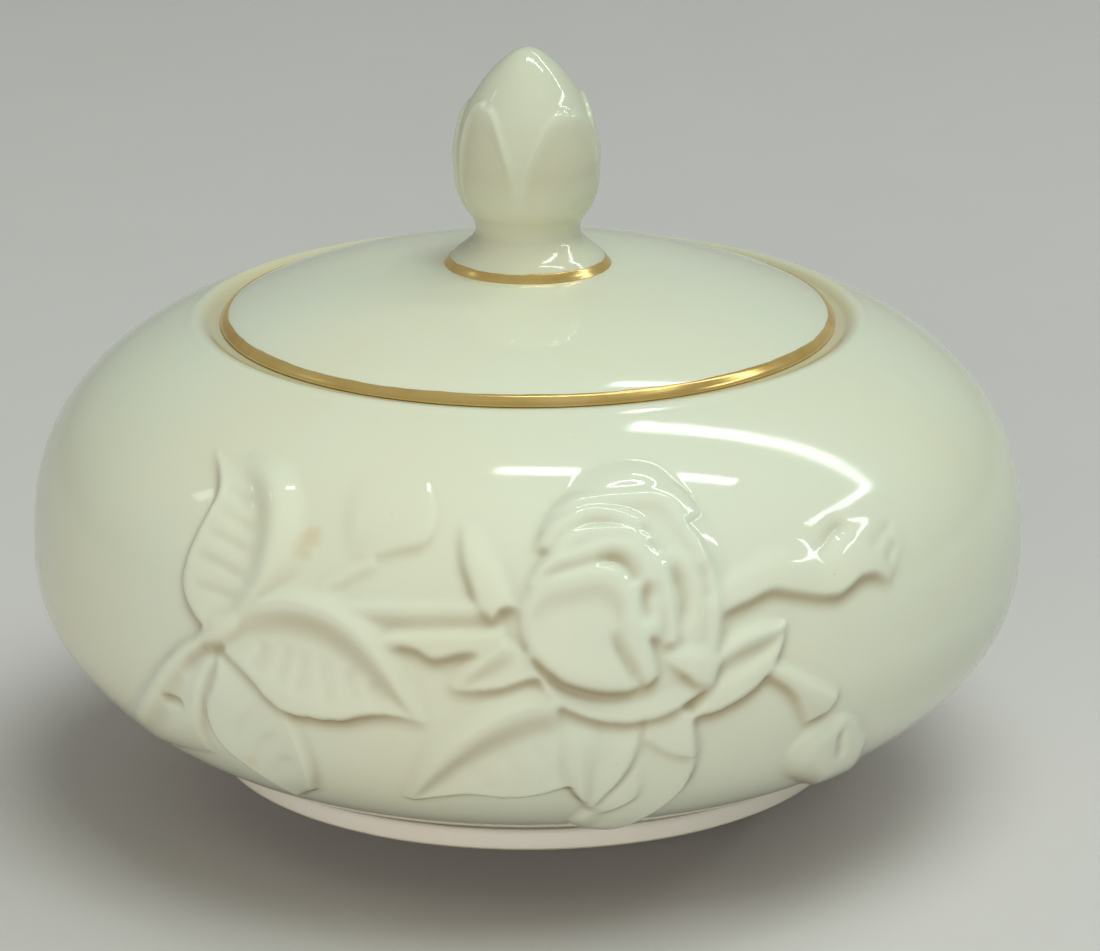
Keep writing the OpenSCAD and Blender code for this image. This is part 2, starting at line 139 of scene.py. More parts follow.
# ---------------------------------------------------------------- relief
# Each ridge or valley of the moulded spray is a line of (degrees round from
# the front, height) on the bowl's skin, with how far it stands out in mm.
MOUNDS = [
    ('rose_mound', 1, 4.6, [(1.3,45.8),(2.1,48.0),(3.9,50.2),(6.4,52.0),(9.9,53.0),(13.7,53.2),(16.8,52.7),(18.7,51.6),(20.2,49.7),(21.2,47.9),(22.1,45.6),(22.6,42.7),(22.6,39.5),(22.3,35.6),(21.4,31.9),(20.5,29.1),(18.7,27.4),(16.2,26.4),(13.0,25.5),(9.7,25.2),(6.5,26.0),(3.5,27.6),(1.7,29.6),(0.2,31.9),(-1.1,34.6),(-1.8,37.3),(-2.2,40.1),(-2.0,42.7),(-0.3,44.7)]),
]
LOFTS = [
    ('B1_stem', 'max', [
        (0, [(-23.5,40.5),(-21.8,41.8),(-19.9,43.1),(-17.7,44.1)]),
        (0.35, [(-23.2,40.1),(-21.3,41.3),(-19.4,42.4),(-17.2,43.3)]),
        (0, [(-22.6,39.2),(-20.5,40.4),(-18.9,41.6),(-16.8,42.7)]),
    ]),
    ('B1_bud', 'max', [
        (0, [(-20.8,43.2),(-21.9,46.1),(-22.8,48.5),(-23.2,51.3)]),
        ([0.05,0.28,0.28,0], [(-19.5,43.5),(-20.1,46.3),(-20.4,48.9),(-20.4,51.7)]),
        ([0.2,0.34,0.28,0], [(-18.4,43.8),(-16.6,46.1),(-15.5,48.8),(-16.0,52.2)]),
        ([0.3,0.4,0.38,0.22,0], [(-17.7,43.9),(-14.8,44.7),(-11.9,45.6),(-10.9,47.4),(-11.5,49.8),(-13.6,52.1)]),
    ]),
    ('B2', 'max', [
        (0, [(-20.7,39.3),(-17.3,39.9),(-12.9,40.4),(-8.5,40.8),(-3.6,40.5)]),
        (0.75, [(-20.6,38.2),(-17.2,38.5),(-12.8,38.7),(-8.4,39.0),(-3.0,39.0)]),
        (0.15, [(-19.9,36.9),(-17.1,36.8),(-12.7,36.9),(-8.3,37.2),(-2.5,37.4)]),
    ]),
    ('B3', 'max', [
        (0.1, [(-16.8,34.6),(-14.8,36.1),(-11.6,36.8),(-7.3,37.1),(-2.5,37.4)]),
        (0.9, [(-16.8,34.5),(-14.6,35.2),(-11.5,35.3),(-7.2,35.8),(-2.5,36.5)]),
        (0.85, [(-16.8,34.4),(-14.2,34.3),(-12.0,34.0),(-9.9,32.9),(-7.2,33.7),(-4.6,34.1),(-1.9,35.0)]),
    ]),
    ('A4', 'max', [
        ([0,0,0], [(-37.4,32.8),(-40.6,30.6),(-43.8,27.4),(-47.0,23.6),(-52.4,18.3),(-61.8,12.5)]),
        ([0.8,1.1,1.2,1.2,1,0.5,0.1], [(-36.8,31.7),(-39.7,29.5),(-42.4,26.7),(-45.0,23.4),(-49.0,19.2),(-57.7,13.1)]),
        ([0.4,0.4,0.45,0.5,0.5,0.35,0.1], [(-36.0,30.2),(-38.0,28.7),(-40.1,26.1),(-41.9,22.9),(-45.3,18.7),(-57.2,10.6)]),
        ([0.5,0.65,0.75,0.8,0.6,0.4,0.1], [(-35.7,29.5),(-36.9,27.2),(-37.9,24.1),(-38.9,20.7),(-39.8,17.4),(-40.6,14.5)]),
    ]),
    ('A1', 'max', [
        (0, [(-32.0,33.0),(-28.9,36.3),(-26.6,39.8),(-25.6,43.7),(-26.2,47.2),(-28.5,50.1),(-32.7,52.0),(-37.4,52.5)]),
        ([0.5,1.2,1.25,1,0.1], [(-33.6,34.2),(-31.5,37.2),(-29.8,40.2),(-29.6,43.6),(-30.4,46.6),(-32.5,49.1),(-35.6,50.6),(-38.9,51.2)]),
        ([0.35,0.35,0.4,0.35,0.05], [(-34.7,34.4),(-33.6,37.4),(-32.5,40.4),(-32.6,43.7),(-33.7,46.5),(-35.9,48.6),(-39.0,50.2),(-41.5,50.8)]),
        ([0.6,0.7,0.8,0.6,0.1], [(-36.1,33.6),(-36.6,36.4),(-36.9,39.6),(-36.8,43.0),(-37.2,45.9),(-38.7,48.2),(-41.1,49.9),(-42.8,50.7)]),
        ([0.8,1,1.1,0.9,0.35], [(-37.0,32.7),(-38.5,33.9),(-40.0,35.7),(-40.8,37.8),(-40.8,39.7),(-40.6,41.3),(-40.2,43.4),(-39.8,45.4),(-39.7,47.2),(-40.6,48.6),(-42.7,50.1),(-44.4,51.0)]),
    ]),
    ('A3', 'max', [
        (0, [(-31.9,29.3),(-28.3,26.7),(-25.9,24.0),(-24.8,20.5),(-24.7,16.7),(-25.9,13.0)]),
        ([0.1,0.2,0.7,1,0.95,0.5], [(-32.5,29.4),(-28.8,26.5),(-26.8,23.7),(-25.7,20.3),(-25.7,16.5),(-27.2,12.0)]),
        ([0.15,0.25,0.6,0.8,0.8,0.5], [(-33.0,29.2),(-29.8,26.4),(-27.8,23.5),(-26.6,20.1),(-26.5,16.3),(-27.9,11.6)]),
        ([0.3,0.45,0.5,0.65,0.5], [(-33.9,29.3),(-32.4,25.9),(-30.9,22.8),(-29.5,19.4),(-28.6,15.9),(-29.5,10.7)]),
        ([0.7,0.95,1.1,0.7], [(-35.4,29.7),(-35.6,27.5),(-36.4,25.2),(-37.3,23.4),(-37.6,21.2),(-37.5,18.8),(-36.7,16.9),(-35.2,15.3),(-33.8,13.5),(-32.5,11.4),(-31.4,9.5)]),
    ]),
    ('A2a', 'max', [
        (0, [(-35.4,35.2),(-32.0,38.5),(-27.0,40.5),(-21.3,40.3),(-16.5,38.2),(-13.0,33.9),(-11.2,29.2),(-10.4,25.0)]),
        ([0.6,1.2,1.4,1.2,0.5], [(-34.2,33.8),(-30.8,36.7),(-26.6,38.0),(-21.7,37.5),(-17.9,35.3),(-14.7,31.3),(-12.8,27.8),(-11.1,25.2)]),
    ]),
    ('A2', 'set', [
        ([0.6,1.2,1.4,1.2,0.5], [(-34.2,33.8),(-30.8,36.7),(-26.6,38.0),(-21.7,37.5),(-17.9,35.3),(-14.7,31.3),(-12.8,27.8),(-11.1,25.2)]),
        ([0.55,1.02,1.15,1,0.45], [(-34.0,33.4),(-30.5,36.0),(-26.4,37.2),(-21.8,36.6),(-18.1,34.4),(-14.9,30.7),(-13.0,27.5),(-11.1,25.2)]),
        ([0.35,0.2,0.2,0.25,0.3], [(-33.8,32.7),(-29.8,33.7),(-25.7,34.3),(-22.1,33.6),(-18.8,31.6),(-15.7,29.0),(-13.3,27.0),(-11.2,25.2)]),
        ([0.5,0.65,0.8,0.75,0.3], [(-34.1,31.6),(-30.1,31.0),(-25.9,29.8),(-22.0,28.8),(-18.6,28.2),(-15.5,27.3),(-13.1,26.3),(-11.3,25.0)]),
        ([0.7,1.05,1.3,1.2,0.4], [(-34.5,30.3),(-32.5,29.1),(-30.6,27.6),(-29.0,26.0),(-27.5,25.0),(-25.8,24.3),(-24.0,24.3),(-21.6,24.3),(-19.9,24.5),(-18.1,25.2),(-15.9,25.7),(-13.7,25.6),(-11.3,25.0)]),
    ]),
    ('joint', 'max', [
        ([0.3,0.6,0.5], [(-38.5,31.6),(-36.1,34.1),(-33.2,35.7)]),
        ([0.9,1.15,1], [(-38.0,31.0),(-35.6,33.0),(-32.9,34.9)]),
        ([0.7,1,0.8], [(-37.1,30.4),(-35.0,32.1),(-32.6,34.1)]),
        ([0.5,0.6,0.5], [(-36.3,29.9),(-34.3,31.4),(-32.5,33.2)]),
    ]),
    ('Da', 'max', [
        (0, [(-15.5,13.0),(-12.7,19.4),(-10.3,23.8),(-7.0,27.5),(-3.4,29.8),(0.2,31.1),(3.3,30.6)]),
        ([0.4,1.1,1.4,1.2], [(-14.3,13.0),(-10.9,18.8),(-8.4,22.0),(-5.7,24.7),(-2.9,26.7),(0.4,28.0),(3.5,28.0)]),
    ]),
    ('D', 'set', [
        ([0.4,1.1,1.4,1.2], [(-14.3,13.0),(-10.9,18.8),(-8.4,22.0),(-5.7,24.7),(-2.9,26.7),(0.4,28.0),(3.5,28.0)]),
        ([0.35,0.9,1.15,1], [(-14.1,13.0),(-10.5,18.2),(-7.9,21.3),(-5.2,23.8),(-2.4,25.7),(0.7,27.0),(3.8,27.0)]),
        ([0.3,0.2,0.25,0.5], [(-13.9,13.1),(-9.4,17.0),(-6.7,19.6),(-4.0,21.6),(-1.0,23.4),(2.0,24.6),(4.9,25.0)]),
        ([0.4,0.75,0.9,0.9], [(-13.8,12.9),(-9.0,15.6),(-5.4,17.6),(-2.0,19.1),(1.3,20.2),(4.0,20.7),(6.1,20.9)]),
        ([0.4,1.15,1.4,1.15], [(-13.9,12.7),(-10.4,14.1),(-6.7,15.2),(-3.3,15.0),(-1.0,15.1),(1.9,15.8),(4.1,16.6),(5.5,15.3),(6.8,12.6)]),
    ]),
    ('E4', 'set', [
        ([0.4,0.4,0.5,0.5,0.5,0.5,0.5,0.4], [(7.5,28.2),(7.7,22.3),(7.7,18.2),(7.3,13.2),(6.7,7.5)]),
        ([0.4,0.4,0.6,0.75,0.8,0.8,0.7,0.4], [(11.8,27.9),(12.3,21.5),(11.8,16.5),(9.6,11.7),(7.0,7.1)]),
        ([0.4,0.4,0.8,1,1.1,1.2,1.1,0.5], [(14.9,27.6),(15.7,20.8),(14.6,15.4),(11.3,10.0),(7.1,7.1)]),
        ([0.4,0.5,1.1,1.35,1.4,1.4,1.3,0.5], [(17.3,25.2),(18.6,21.1),(18.3,15.7),(16.0,11.4),(12.5,8.0),(7.5,6.6)]),
    ]),
    ('E1', 'set', [
        ([0.4,0.4,0.45,0.5,0.6,0.8,0.95,0.8], [(3.5,28.3),(3.3,22.5),(3.7,18.8),(4.8,16.0),(6.9,12.8)]),
        ([0.4,0.4,0.95,1.1,1.1,1.1,1.05,0.75], [(5.7,28.3),(5.5,22.4),(5.8,19.0),(6.4,15.9),(7.7,12.5)]),
        ([0.4,0.35,0.65,0.7,0.7,0.7,0.75,0.7], [(8.2,28.1),(7.5,21.9),(7.0,18.9),(7.4,15.7),(8.5,12.2)]),
    ]),
    ('E2', 'set', [
        ([0.4,0.4,0.65,0.7,0.7,0.7,0.7,0.5], [(8.2,28.1),(7.5,21.9),(6.9,18.9),(6.9,15.2),(6.9,11.9)]),
        ([0.4,0.45,0.95,1.15,1.2,1.2,1.05,0.6], [(10.1,28.0),(9.8,22.0),(8.7,18.8),(7.8,15.1),(7.2,11.9)]),
        ([0.4,0.5,1.2,1.5,1.55,1.5,1.2,0.65], [(12.0,27.9),(11.6,21.8),(10.5,18.6),(8.8,15.4),(7.5,12.3)]),
    ]),
    ('E3', 'max', [
        ([0.7,1,1,0.7], [(12.2,20.3),(10.9,17.6),(9.2,15.0),(7.6,11.7)]),
        ([0.8,1.45,1.4,0.8], [(12.8,17.4),(12.3,14.8),(10.7,13.1),(8.6,11.3)]),
    ]),
    ('E5', 'max', [
        ([0.4,0.4,1], [(12.4,27.3),(14.9,27.3),(17.6,26.0)]),
        ([0.9,1.1,1.3], [(12.5,23.1),(15.4,20.9),(18.5,19.9)]),
    ]),
    ('E0', 'max', [
        ([0.6,0.75,0.7,0.2], [(9.6,13.8),(7.9,12.5),(6.5,10.5),(5.4,8.4)]),
        ([0.6,0.85,0.8,0.2], [(11.5,8.5),(9.4,8.2),(7.7,7.0),(5.9,6.9)]),
    ]),
    ('F', 'max', [
        (0, [(18.9,33.2),(22.6,35.8),(25.7,36.5),(29.0,35.5)]),
        ([0.9,1.15,0.9], [(19.4,31.7),(22.9,33.6),(25.9,34.4),(28.6,34.6)]),
        ([0.5,0.45,0.5], [(19.3,30.0),(22.5,31.6),(25.2,32.5),(28.3,33.9)]),
        ([0.9,1.2,0.9], [(18.7,28.1),(22.5,29.0),(25.4,30.8),(28.0,33.0)]),
        ([1,1.2,1], [(17.4,25.2),(19.9,25.4),(21.9,26.2),(23.7,27.1),(25.1,28.2),(26.6,30.1),(27.6,31.6),(28.4,33.7)]),
    ]),
    ('B4', 'max', [
        (0, [(-8.9,30.1),(-7.2,32.9),(-4.9,35.1),(-3.0,36.7)]),
        ([0.5,1,1], [(-8.2,29.8),(-6.3,31.8),(-4.2,33.8),(-1.9,35.6)]),
        ([0.4,0.5,0.6], [(-8.0,29.6),(-5.3,31.1),(-2.6,32.6),(-0.3,33.9)]),
        ([0.6,1.05,1], [(-7.9,29.4),(-5.6,29.4),(-3.0,29.8),(-0.3,30.8),(2.1,31.2)]),
    ]),
    ('B5', 'max', [
        (0, [(-5.2,48.3),(-2.9,44.7),(-1.4,41.7),(-0.6,39.4)]),
        ([0,0.5,0.85,1], [(-6.4,48.1),(-4.4,44.5),(-2.8,41.7),(-1.7,39.2)]),
        ([0,0.8,1.1,1.3], [(-7.2,48.1),(-5.9,44.4),(-4.6,41.7),(-3.1,38.8)]),
        ([0,0.75,1.05,1.2,1.1], [(-7.9,48.1),(-7.4,44.4),(-6.3,41.6),(-5.4,39.6),(-3.8,37.6)]),
    ]),
    ('G_stem', 'max', [
        (0, [(25.7,32.2),(29.1,30.4),(32.5,28.2),(35.5,25.9)]),
        ([0.9,1,1.1,1], [(25.9,30.5),(29.1,28.5),(32.0,26.5),(35.4,24.4)]),
        ([0.8,0.9,1,0.9], [(25.9,29.7),(28.6,27.8),(30.9,25.7),(34.3,22.7)]),
        ([0.7,0.7,0.6], [(25.9,29.2),(27.9,27.7),(29.6,25.8),(30.6,24.0),(31.8,21.7)]),
    ]),
    ('G_bud', 'max', [
        ([0.1,0.6,0.3,0], [(36.2,21.8),(34.1,21.4),(32.2,20.4),(30.8,18.1),(31.0,14.6)]),
        ([0.5,1.4,1,0.2], [(37.3,21.5),(35.5,19.5),(33.9,17.8),(33.5,15.3),(34.2,12.1)]),
        ([0.5,1.6,1.1,0.2], [(38.1,21.1),(38.2,18.0),(38.0,15.3),(38.7,12.1),(43.9,6.9)]),
        ([0.4,1.4,0.9,0.1], [(38.9,20.6),(41.1,17.0),(42.7,13.1),(48.4,7.9),(45.1,7.2)]),
        (0, [(39.9,20.3),(44.2,16.0),(50.1,10.2),(49.2,8.2),(45.5,7.4)]),
    ]),
    ('H_stem', 'max', [
        (0, [(20.6,41.6),(24.3,43.2),(28.5,44.5),(32.4,44.1),(34.7,42.7)]),
        ([0.7,0.8,0.8,0.7], [(20.6,39.4),(24.4,40.6),(28.3,41.3),(31.3,40.6),(34.2,39.8)]),
        ([0.75,0.88,0.8,0.72], [(20.5,37.0),(22.8,37.6),(24.6,38.1),(26.1,38.6),(27.8,38.7),(29.6,38.2),(31.5,37.6),(34.0,36.9)]),
    ]),
    ('H_bud', 'max', [
        (0, [(32.6,41.3),(36.1,43.9),(40.2,44.9),(45.1,44.6),(48.2,42.9)]),
        ([0.4,0.45,0.3,0], [(32.8,40.1),(36.2,42.1),(40.1,42.7),(44.0,42.8),(47.6,41.7)]),
        ([0.7,0.85,0.65,0.05], [(33.1,38.7),(36.3,39.6),(39.4,40.1),(42.8,39.9),(46.5,39.9)]),
        ([0.75,1,0.95,0.3], [(33.1,37.1),(35.8,36.8),(37.6,37.5),(39.2,38.1),(41.0,38.0),(43.4,36.6)]),
    ]),
    ('R_low', 'max', [
        (0.9, [(-0.3,34.4),(1.8,31.1),(4.9,29.0),(8.1,28.3),(11.8,28.6),(14.9,30.0),(17.3,31.2)]),
        (1.15, [(0.2,33.0),(2.3,29.6),(5.2,27.7),(8.8,26.7),(12.5,27.1),(16.0,28.2),(19.1,30.5)]),
        (1.35, [(0.6,31.8),(3.3,28.0),(6.5,26.1),(9.7,25.4),(13.0,25.6),(16.2,26.8),(19.8,29.2)]),
    ]),
    ('R_rim4', 'max', [
        (0.45, [(1.1,47.2),(4.1,50.0),(8.0,50.9),(13.0,51.3),(16.7,51.3),(19.3,50.2),(20.7,47.9)]),
        ([0.5,1.1,1.3,1.3,1.3,1.3,1.2], [(2.3,46.8),(5.5,49.4),(8.8,49.7),(12.5,49.7),(15.2,49.6),(17.2,48.7),(17.9,46.9)]),
        (1.0, [(3.4,46.2),(6.6,48.3),(9.1,48.7),(12.4,48.5),(14.6,48.3),(15.6,47.6),(16.2,46.4)]),
    ]),
    ('R_rimr', 'max', [
        (0.1, [(18.5,48.2),(20.6,45.2),(21.9,40.9),(21.7,36.4),(21.0,31.1)]),
        ([1.2,1.25,1.35,1.3], [(17.5,47.3),(19.3,44.8),(20.3,40.6),(20.1,36.6),(19.4,32.6)]),
        (0.9, [(16.3,46.6),(17.9,43.9),(18.8,40.1),(18.6,36.8),(18.0,33.3)]),
    ]),
    ('R_rim3', 'max', [
        (1.0, [(0.9,45.5),(2.1,47.6),(4.0,48.6),(6.9,49.4),(9.1,49.3),(12.0,48.8),(14.2,47.7)]),
        ([0.9,1.4,1.55,1.55,1.55,1.55,1.45], [(1.8,45.1),(2.8,46.9),(4.4,47.7),(6.9,48.5),(8.8,48.5),(10.9,48.0),(13.1,47.0)]),
        (1.2, [(2.7,44.7),(3.6,46.1),(5.1,46.9),(7.1,47.6),(8.8,47.6),(10.3,47.3),(12.0,46.3)]),
    ]),
    ('R_rim2', 'max', [
        (1.2, [(2.2,44.8),(4.1,46.7),(6.7,47.4),(9.0,47.4),(11.9,47.1),(14.2,45.8)]),
        (1.7, [(2.7,44.3),(4.4,46.0),(6.8,46.7),(9.0,46.8),(11.1,46.6),(13.5,45.3)]),
        (1.35, [(3.3,43.7),(4.9,45.0),(7.0,45.7),(8.9,45.8),(10.5,45.5),(12.2,44.5)]),
    ]),
    ('R_sp1', 'max', [
        (1.0, [(16.9,45.1),(18.7,43.4),(19.4,40.1),(19.0,36.7),(18.1,33.1)]),
        ([1.4,1.3,1.2,1.15], [(15.4,44.5),(17.4,43.4),(18.2,40.8),(18.0,37.8),(17.3,34.4)]),
        (1.05, [(14.7,43.1),(16.0,41.9),(16.7,40.1),(16.7,37.9),(16.2,35.2)]),
    ]),
    ('R_sp2', 'max', [
        (1.05, [(15.0,44.5),(16.1,42.8),(16.7,40.1),(16.5,37.6),(15.9,34.2)]),
        (1.8, [(13.6,44.0),(14.6,42.1),(15.2,39.6),(15.4,37.1),(15.1,34.6)]),
        (1.05, [(12.8,42.0),(13.1,40.5),(13.3,38.5),(13.7,36.1),(13.8,34.4)]),
    ]),
    ('R_back2b', 'max', [
        (1.35, [(-0.2,41.7),(1.9,44.5),(5.3,45.5),(8.3,46.3),(11.5,46.2),(13.9,44.9),(14.8,42.1),(14.7,38.9),(14.1,34.9)]),
        (1.95, [(0.4,41.7),(2.6,43.8),(5.6,44.7),(8.1,45.3),(10.7,45.3),(12.4,44.4),(13.1,42.3),(13.1,39.0),(12.7,35.7)]),
        (1.45, [(1.1,41.2),(3.3,42.8),(5.7,43.5),(8.3,44.1),(10.1,44.0),(11.1,43.1),(11.8,41.3),(11.8,38.6),(11.5,35.7)]),
    ]),
    ('R_main', 'set', [
        ([1,1.35,1.4,1.35], [(-0.9,39.2),(0.9,42.2),(3.5,43.2),(8.2,43.8),(10.8,42.7),(11.5,40.8)]),
        ([1,1.8,2.05,1.85], [(-0.8,38.3),(1.3,41.4),(3.7,42.1),(7.9,42.8),(9.6,42.0),(10.4,40.0)]),
        ([0.95,1.45,1.55,1.45], [(-0.8,37.7),(1.8,39.0),(4.7,39.6),(7.5,39.7),(9.1,38.7),(10.0,37.3)]),
        ([1,1.65,1.8,1.6], [(-0.7,36.8),(1.8,36.1),(4.6,35.5),(7.1,35.1),(8.8,34.4),(10.1,33.8)]),
        ([1.15,2.1,2.25,1.9], [(-0.5,36.1),(0.9,34.2),(3.1,32.4),(5.7,31.6),(8.0,31.2),(9.9,31.0),(11.4,30.9)]),
        ([1.2,1.95,2.1,1.9], [(-0.4,35.6),(0.4,33.8),(1.9,32.2),(3.3,30.9),(5.0,30.1),(7.6,29.4),(9.9,29.3),(11.6,29.9)]),
    ]),
    ('R_lobe', 'max', [
        ([1.2,1.2,1.2], [(9.8,41.4),(9.0,38.5),(9.3,35.3),(10.6,31.9),(11.8,29.6)]),
        ([1.8,2.15,2.15], [(11.2,41.7),(10.8,38.4),(11.1,35.2),(12.0,32.5),(12.7,30.3)]),
        ([1.8,2,1.9], [(12.3,41.8),(12.3,38.3),(12.8,35.1),(13.3,32.9),(13.6,31.2)]),
    ]),
    ('R_curl', 'max', [
        ([0.9,1.2,1.1], [(14.0,33.5),(15.8,34.4),(18.5,34.2),(20.7,32.4)]),
        ([1.4,1.8,1.5], [(14.5,33.0),(16.5,33.0),(18.7,32.5),(20.4,31.5)]),
        ([1.5,1.95,1.5], [(14.9,32.5),(16.4,30.9),(18.3,29.3),(19.8,29.4)]),
    ]),
]
STROKES = [
    ('crease1', -0.55, 0.5, [(8.7,36.7),(9.5,34.1),(10.8,31.4),(11.8,29.8)]),
    ('crease2', -0.75, 0.75, [(13.1,41.7),(12.6,39.6),(12.8,36.9)]),
    ('crease3', -0.5, 0.8, [(15.6,43.0),(16.3,40.8),(16.7,38.8),(16.3,36.1)]),
    ('crease4', -0.35, 0.8, [(19.4,43.1),(20.0,41.1),(19.7,38.4)]),
    ('g_slit', -0.7, 0.5, [(36.9,20.0),(37.3,17.8),(38.3,15.5)]),
    ('a4_notch', -0.6, 0.5, [(-44.1,22.1),(-42.5,22.1),(-40.8,21.9)]),
    ('h_l1', -0.35, 0.8, [(34.6,41.6),(35.9,42.7),(37.4,43.7),(39.7,43.9)]),
    ('h_l2', -0.25, 0.7, [(40.9,41.0),(43.2,41.9),(46.3,43.2)]),
    ('h_l3', -0.25, 0.6, [(43.1,39.0),(44.3,40.0),(46.1,41.1)]),
    ('a4_in', -0.35, 0.8, [(-34.9,30.4),(-36.8,30.0),(-38.8,28.2),(-40.1,26.4)]),
    ('vA2', -0.26, 0.75, [(-26.2,33.2),(-26.7,30.9),(-27.5,28.0)]),
    ('vA2', -0.26, 0.75, [(-24.5,32.9),(-24.6,30.2),(-25.0,26.9)]),
    ('vA2', -0.26, 0.75, [(-22.4,32.1),(-21.8,29.2),(-21.4,26.1)]),
    ('vA2', -0.26, 0.75, [(-19.8,31.2),(-18.7,28.6),(-17.9,26.5)]),
    ('vA2', -0.26, 0.75, [(-28.9,32.9),(-29.6,30.9),(-30.7,29.1)]),
    ('vA2', -0.26, 0.75, [(-17.4,29.6),(-16.1,27.7),(-15.2,26.6)]),
    ('vA1', -0.16, 0.6, [(-31.9,39.4),(-34.5,40.1),(-39.4,41.1)]),
    ('vA1', -0.16, 0.6, [(-31.8,42.1),(-34.5,42.8),(-39.5,43.8)]),
    ('vA1', -0.16, 0.6, [(-32.4,44.4),(-35.2,45.2),(-39.0,46.0)]),
    ('vA1', -0.16, 0.6, [(-33.8,46.6),(-36.1,47.4),(-39.3,48.1)]),
    ('vA1', -0.16, 0.6, [(-32.6,37.0),(-35.1,37.4),(-39.1,37.5)]),
    ('vD', -0.2, 0.75, [(-6.4,19.3),(-4.7,17.9),(-4.4,15.7)]),
    ('vD', -0.2, 0.75, [(-3.0,21.5),(-1.1,19.5),(-0.5,16.2)]),
    ('vD', -0.2, 0.75, [(0.4,23.1),(2.1,20.6),(2.6,17.2)]),
    ('vA3', -0.14, 0.6, [(-29.8,25.2),(-31.6,23.2),(-34.8,18.6)]),
    ('vA3', -0.14, 0.6, [(-28.0,21.8),(-30.3,19.8),(-33.6,15.7)]),
    ('vA3', -0.14, 0.6, [(-27.0,18.4),(-29.3,16.6),(-31.7,13.8)]),
]

# The outside from the foot's crease to the rim, with its conformal height,
# so that a millimetre across is a millimetre up everywhere on the relief.
SKIN = dedupe(np.vstack([OUT_LOW, OUT_HIGH]))
SKIN_S = np.r_[0, np.cumsum(np.linalg.norm(np.diff(SKIN, axis=0), axis=1))]
SKIN_P = np.r_[0, np.cumsum(np.diff(SKIN_S) / (0.5 * (SKIN[1:, 0] + SKIN[:-1, 0])))]
SKIN_P = (SKIN_P - np.interp(ZB, SKIN[:, 1], SKIN_P)) * R0
CELL = 0.16
X0, X1 = math.radians(-61) * R0, math.radians(57) * R0
Y0, Y1 = np.interp(4.6, SKIN[:, 1], SKIN_P), np.interp(56.2, SKIN[:, 1], SKIN_P)
NX, NY = int((X1 - X0) / CELL) + 1, int((Y1 - Y0) / CELL) + 1


def flat(pts):
    p = np.asarray(pts, float)
    return np.stack([np.radians(p[:, 0]) * R0, np.interp(p[:, 1], SKIN[:, 1], SKIN_P)], 1)


def blur(h, sigma):
    n = int(3 * sigma) + 1
    k = np.exp(-0.5 * (np.arange(-n, n + 1) / sigma) ** 2)
    k /= k.sum()
    p = np.pad(h, n, mode="edge")
    p = np.apply_along_axis(lambda v: np.convolve(v, k, "valid"), 0, p)
    return np.apply_along_axis(lambda v: np.convolve(v, k, "valid"), 1, p)


def across(x, y, m):
    """Monotone cubic through y at x, both (rails, stations), with m samples to an interval."""
    k = len(x)
    dx = np.maximum(np.diff(x, axis=0), 1e-6)
    d = np.diff(y, axis=0) / dx
    s = np.zeros_like(y)
    if k > 2:
        a, b = d[:-1], d[1:]
        same = a * b > 0
        w1, w2 = 2 * dx[1:] + dx[:-1], dx[1:] + 2 * dx[:-1]
        with np.errstate(divide="ignore", invalid="ignore"):
            s[1:-1] = np.where(same, (w1 + w2) / (w1 / a + w2 / b), 0)
    s[0] = np.where(y[0] < 0.02, 0, 0.6 * d[0])
    s[-1] = np.where(y[-1] < 0.02, 0, 0.6 * d[-1])
    out, u = [], np.linspace(0, 1, m)[:, None]
    for i in range(k - 1):
        h00, h10 = 2 * u**3 - 3 * u**2 + 1, u**3 - 2 * u**2 + u
        h01, h11 = -2 * u**3 + 3 * u**2, u**3 - u**2
        out.append(h00 * y[i] + h10 * dx[i] * s[i] + h01 * y[i + 1] + h11 * dx[i] * s[i + 1])
    return np.vstack(out)


def loft(h, mode, rails):
    nt, m = 520, 64
    pos, hts = [], []
    for height, pts in rails:
        pos.append(smooth(flat(pts), nt))
        v = np.atleast_1d(np.asarray(height, float))
        if len(v) == 1:
            hts.append(np.full(nt, v[0]))
        else:
            c = smooth(np.stack([np.linspace(0, 1, len(v)) * 10, v], 1), 200)
            hts.append(np.interp(np.linspace(0, 10, nt), c[:, 0], c[:, 1]))
    pos, hts = np.array(pos), np.array(hts)
    gap = np.linalg.norm(np.diff(pos, axis=0), axis=2)
    x = np.vstack([np.zeros((1, nt)), np.cumsum(gap, axis=0)])
    z = across(x, hts, m)
    u = np.linspace(0, 1, m)[:, None, None]
    p = np.vstack([pos[i] * (1 - u) + pos[i + 1] * u for i in range(len(pos) - 1)])
    ix = np.rint((p[..., 0] - X0) / CELL).astype(int).ravel()
    iy = np.rint((p[..., 1] - Y0) / CELL).astype(int).ravel()
    ok = (ix >= 0) & (ix < NX) & (iy >= 0) & (iy < NY)
    new = np.full(NX * NY, -9.0)
    order = np.argsort(z.ravel()[ok])
    new[(iy * NX + ix)[ok][order]] = z.ravel()[ok][order]
    new = new.reshape(NY, NX)
    on = new > -5
    # a cell that the samples missed takes its neighbours' height
    nb = np.stack([np.roll(new, s, a) for s, a in ((1, 0), (-1, 0), (1, 1), (-1, 1))])
    full = (nb > -5).sum(0) >= 3
    new = np.where(~on & full, nb.max(0), new)
    on = new > -5
    if mode == "set":
        return np.where(on, new, h)
    return np.where(on, np.maximum(new, h), h)


GX = X0 + CELL * np.arange(NX)
GY = Y0 + CELL * np.arange(NY)


def window(pts, pad):
    lo, hi = pts.min(0) - pad, pts.max(0) + pad
    i0, i1 = np.searchsorted(GX, [lo[0], hi[0]])
    j0, j1 = np.searchsorted(GY, [lo[1], hi[1]])
    return slice(j0, j1), slice(i0, i1)


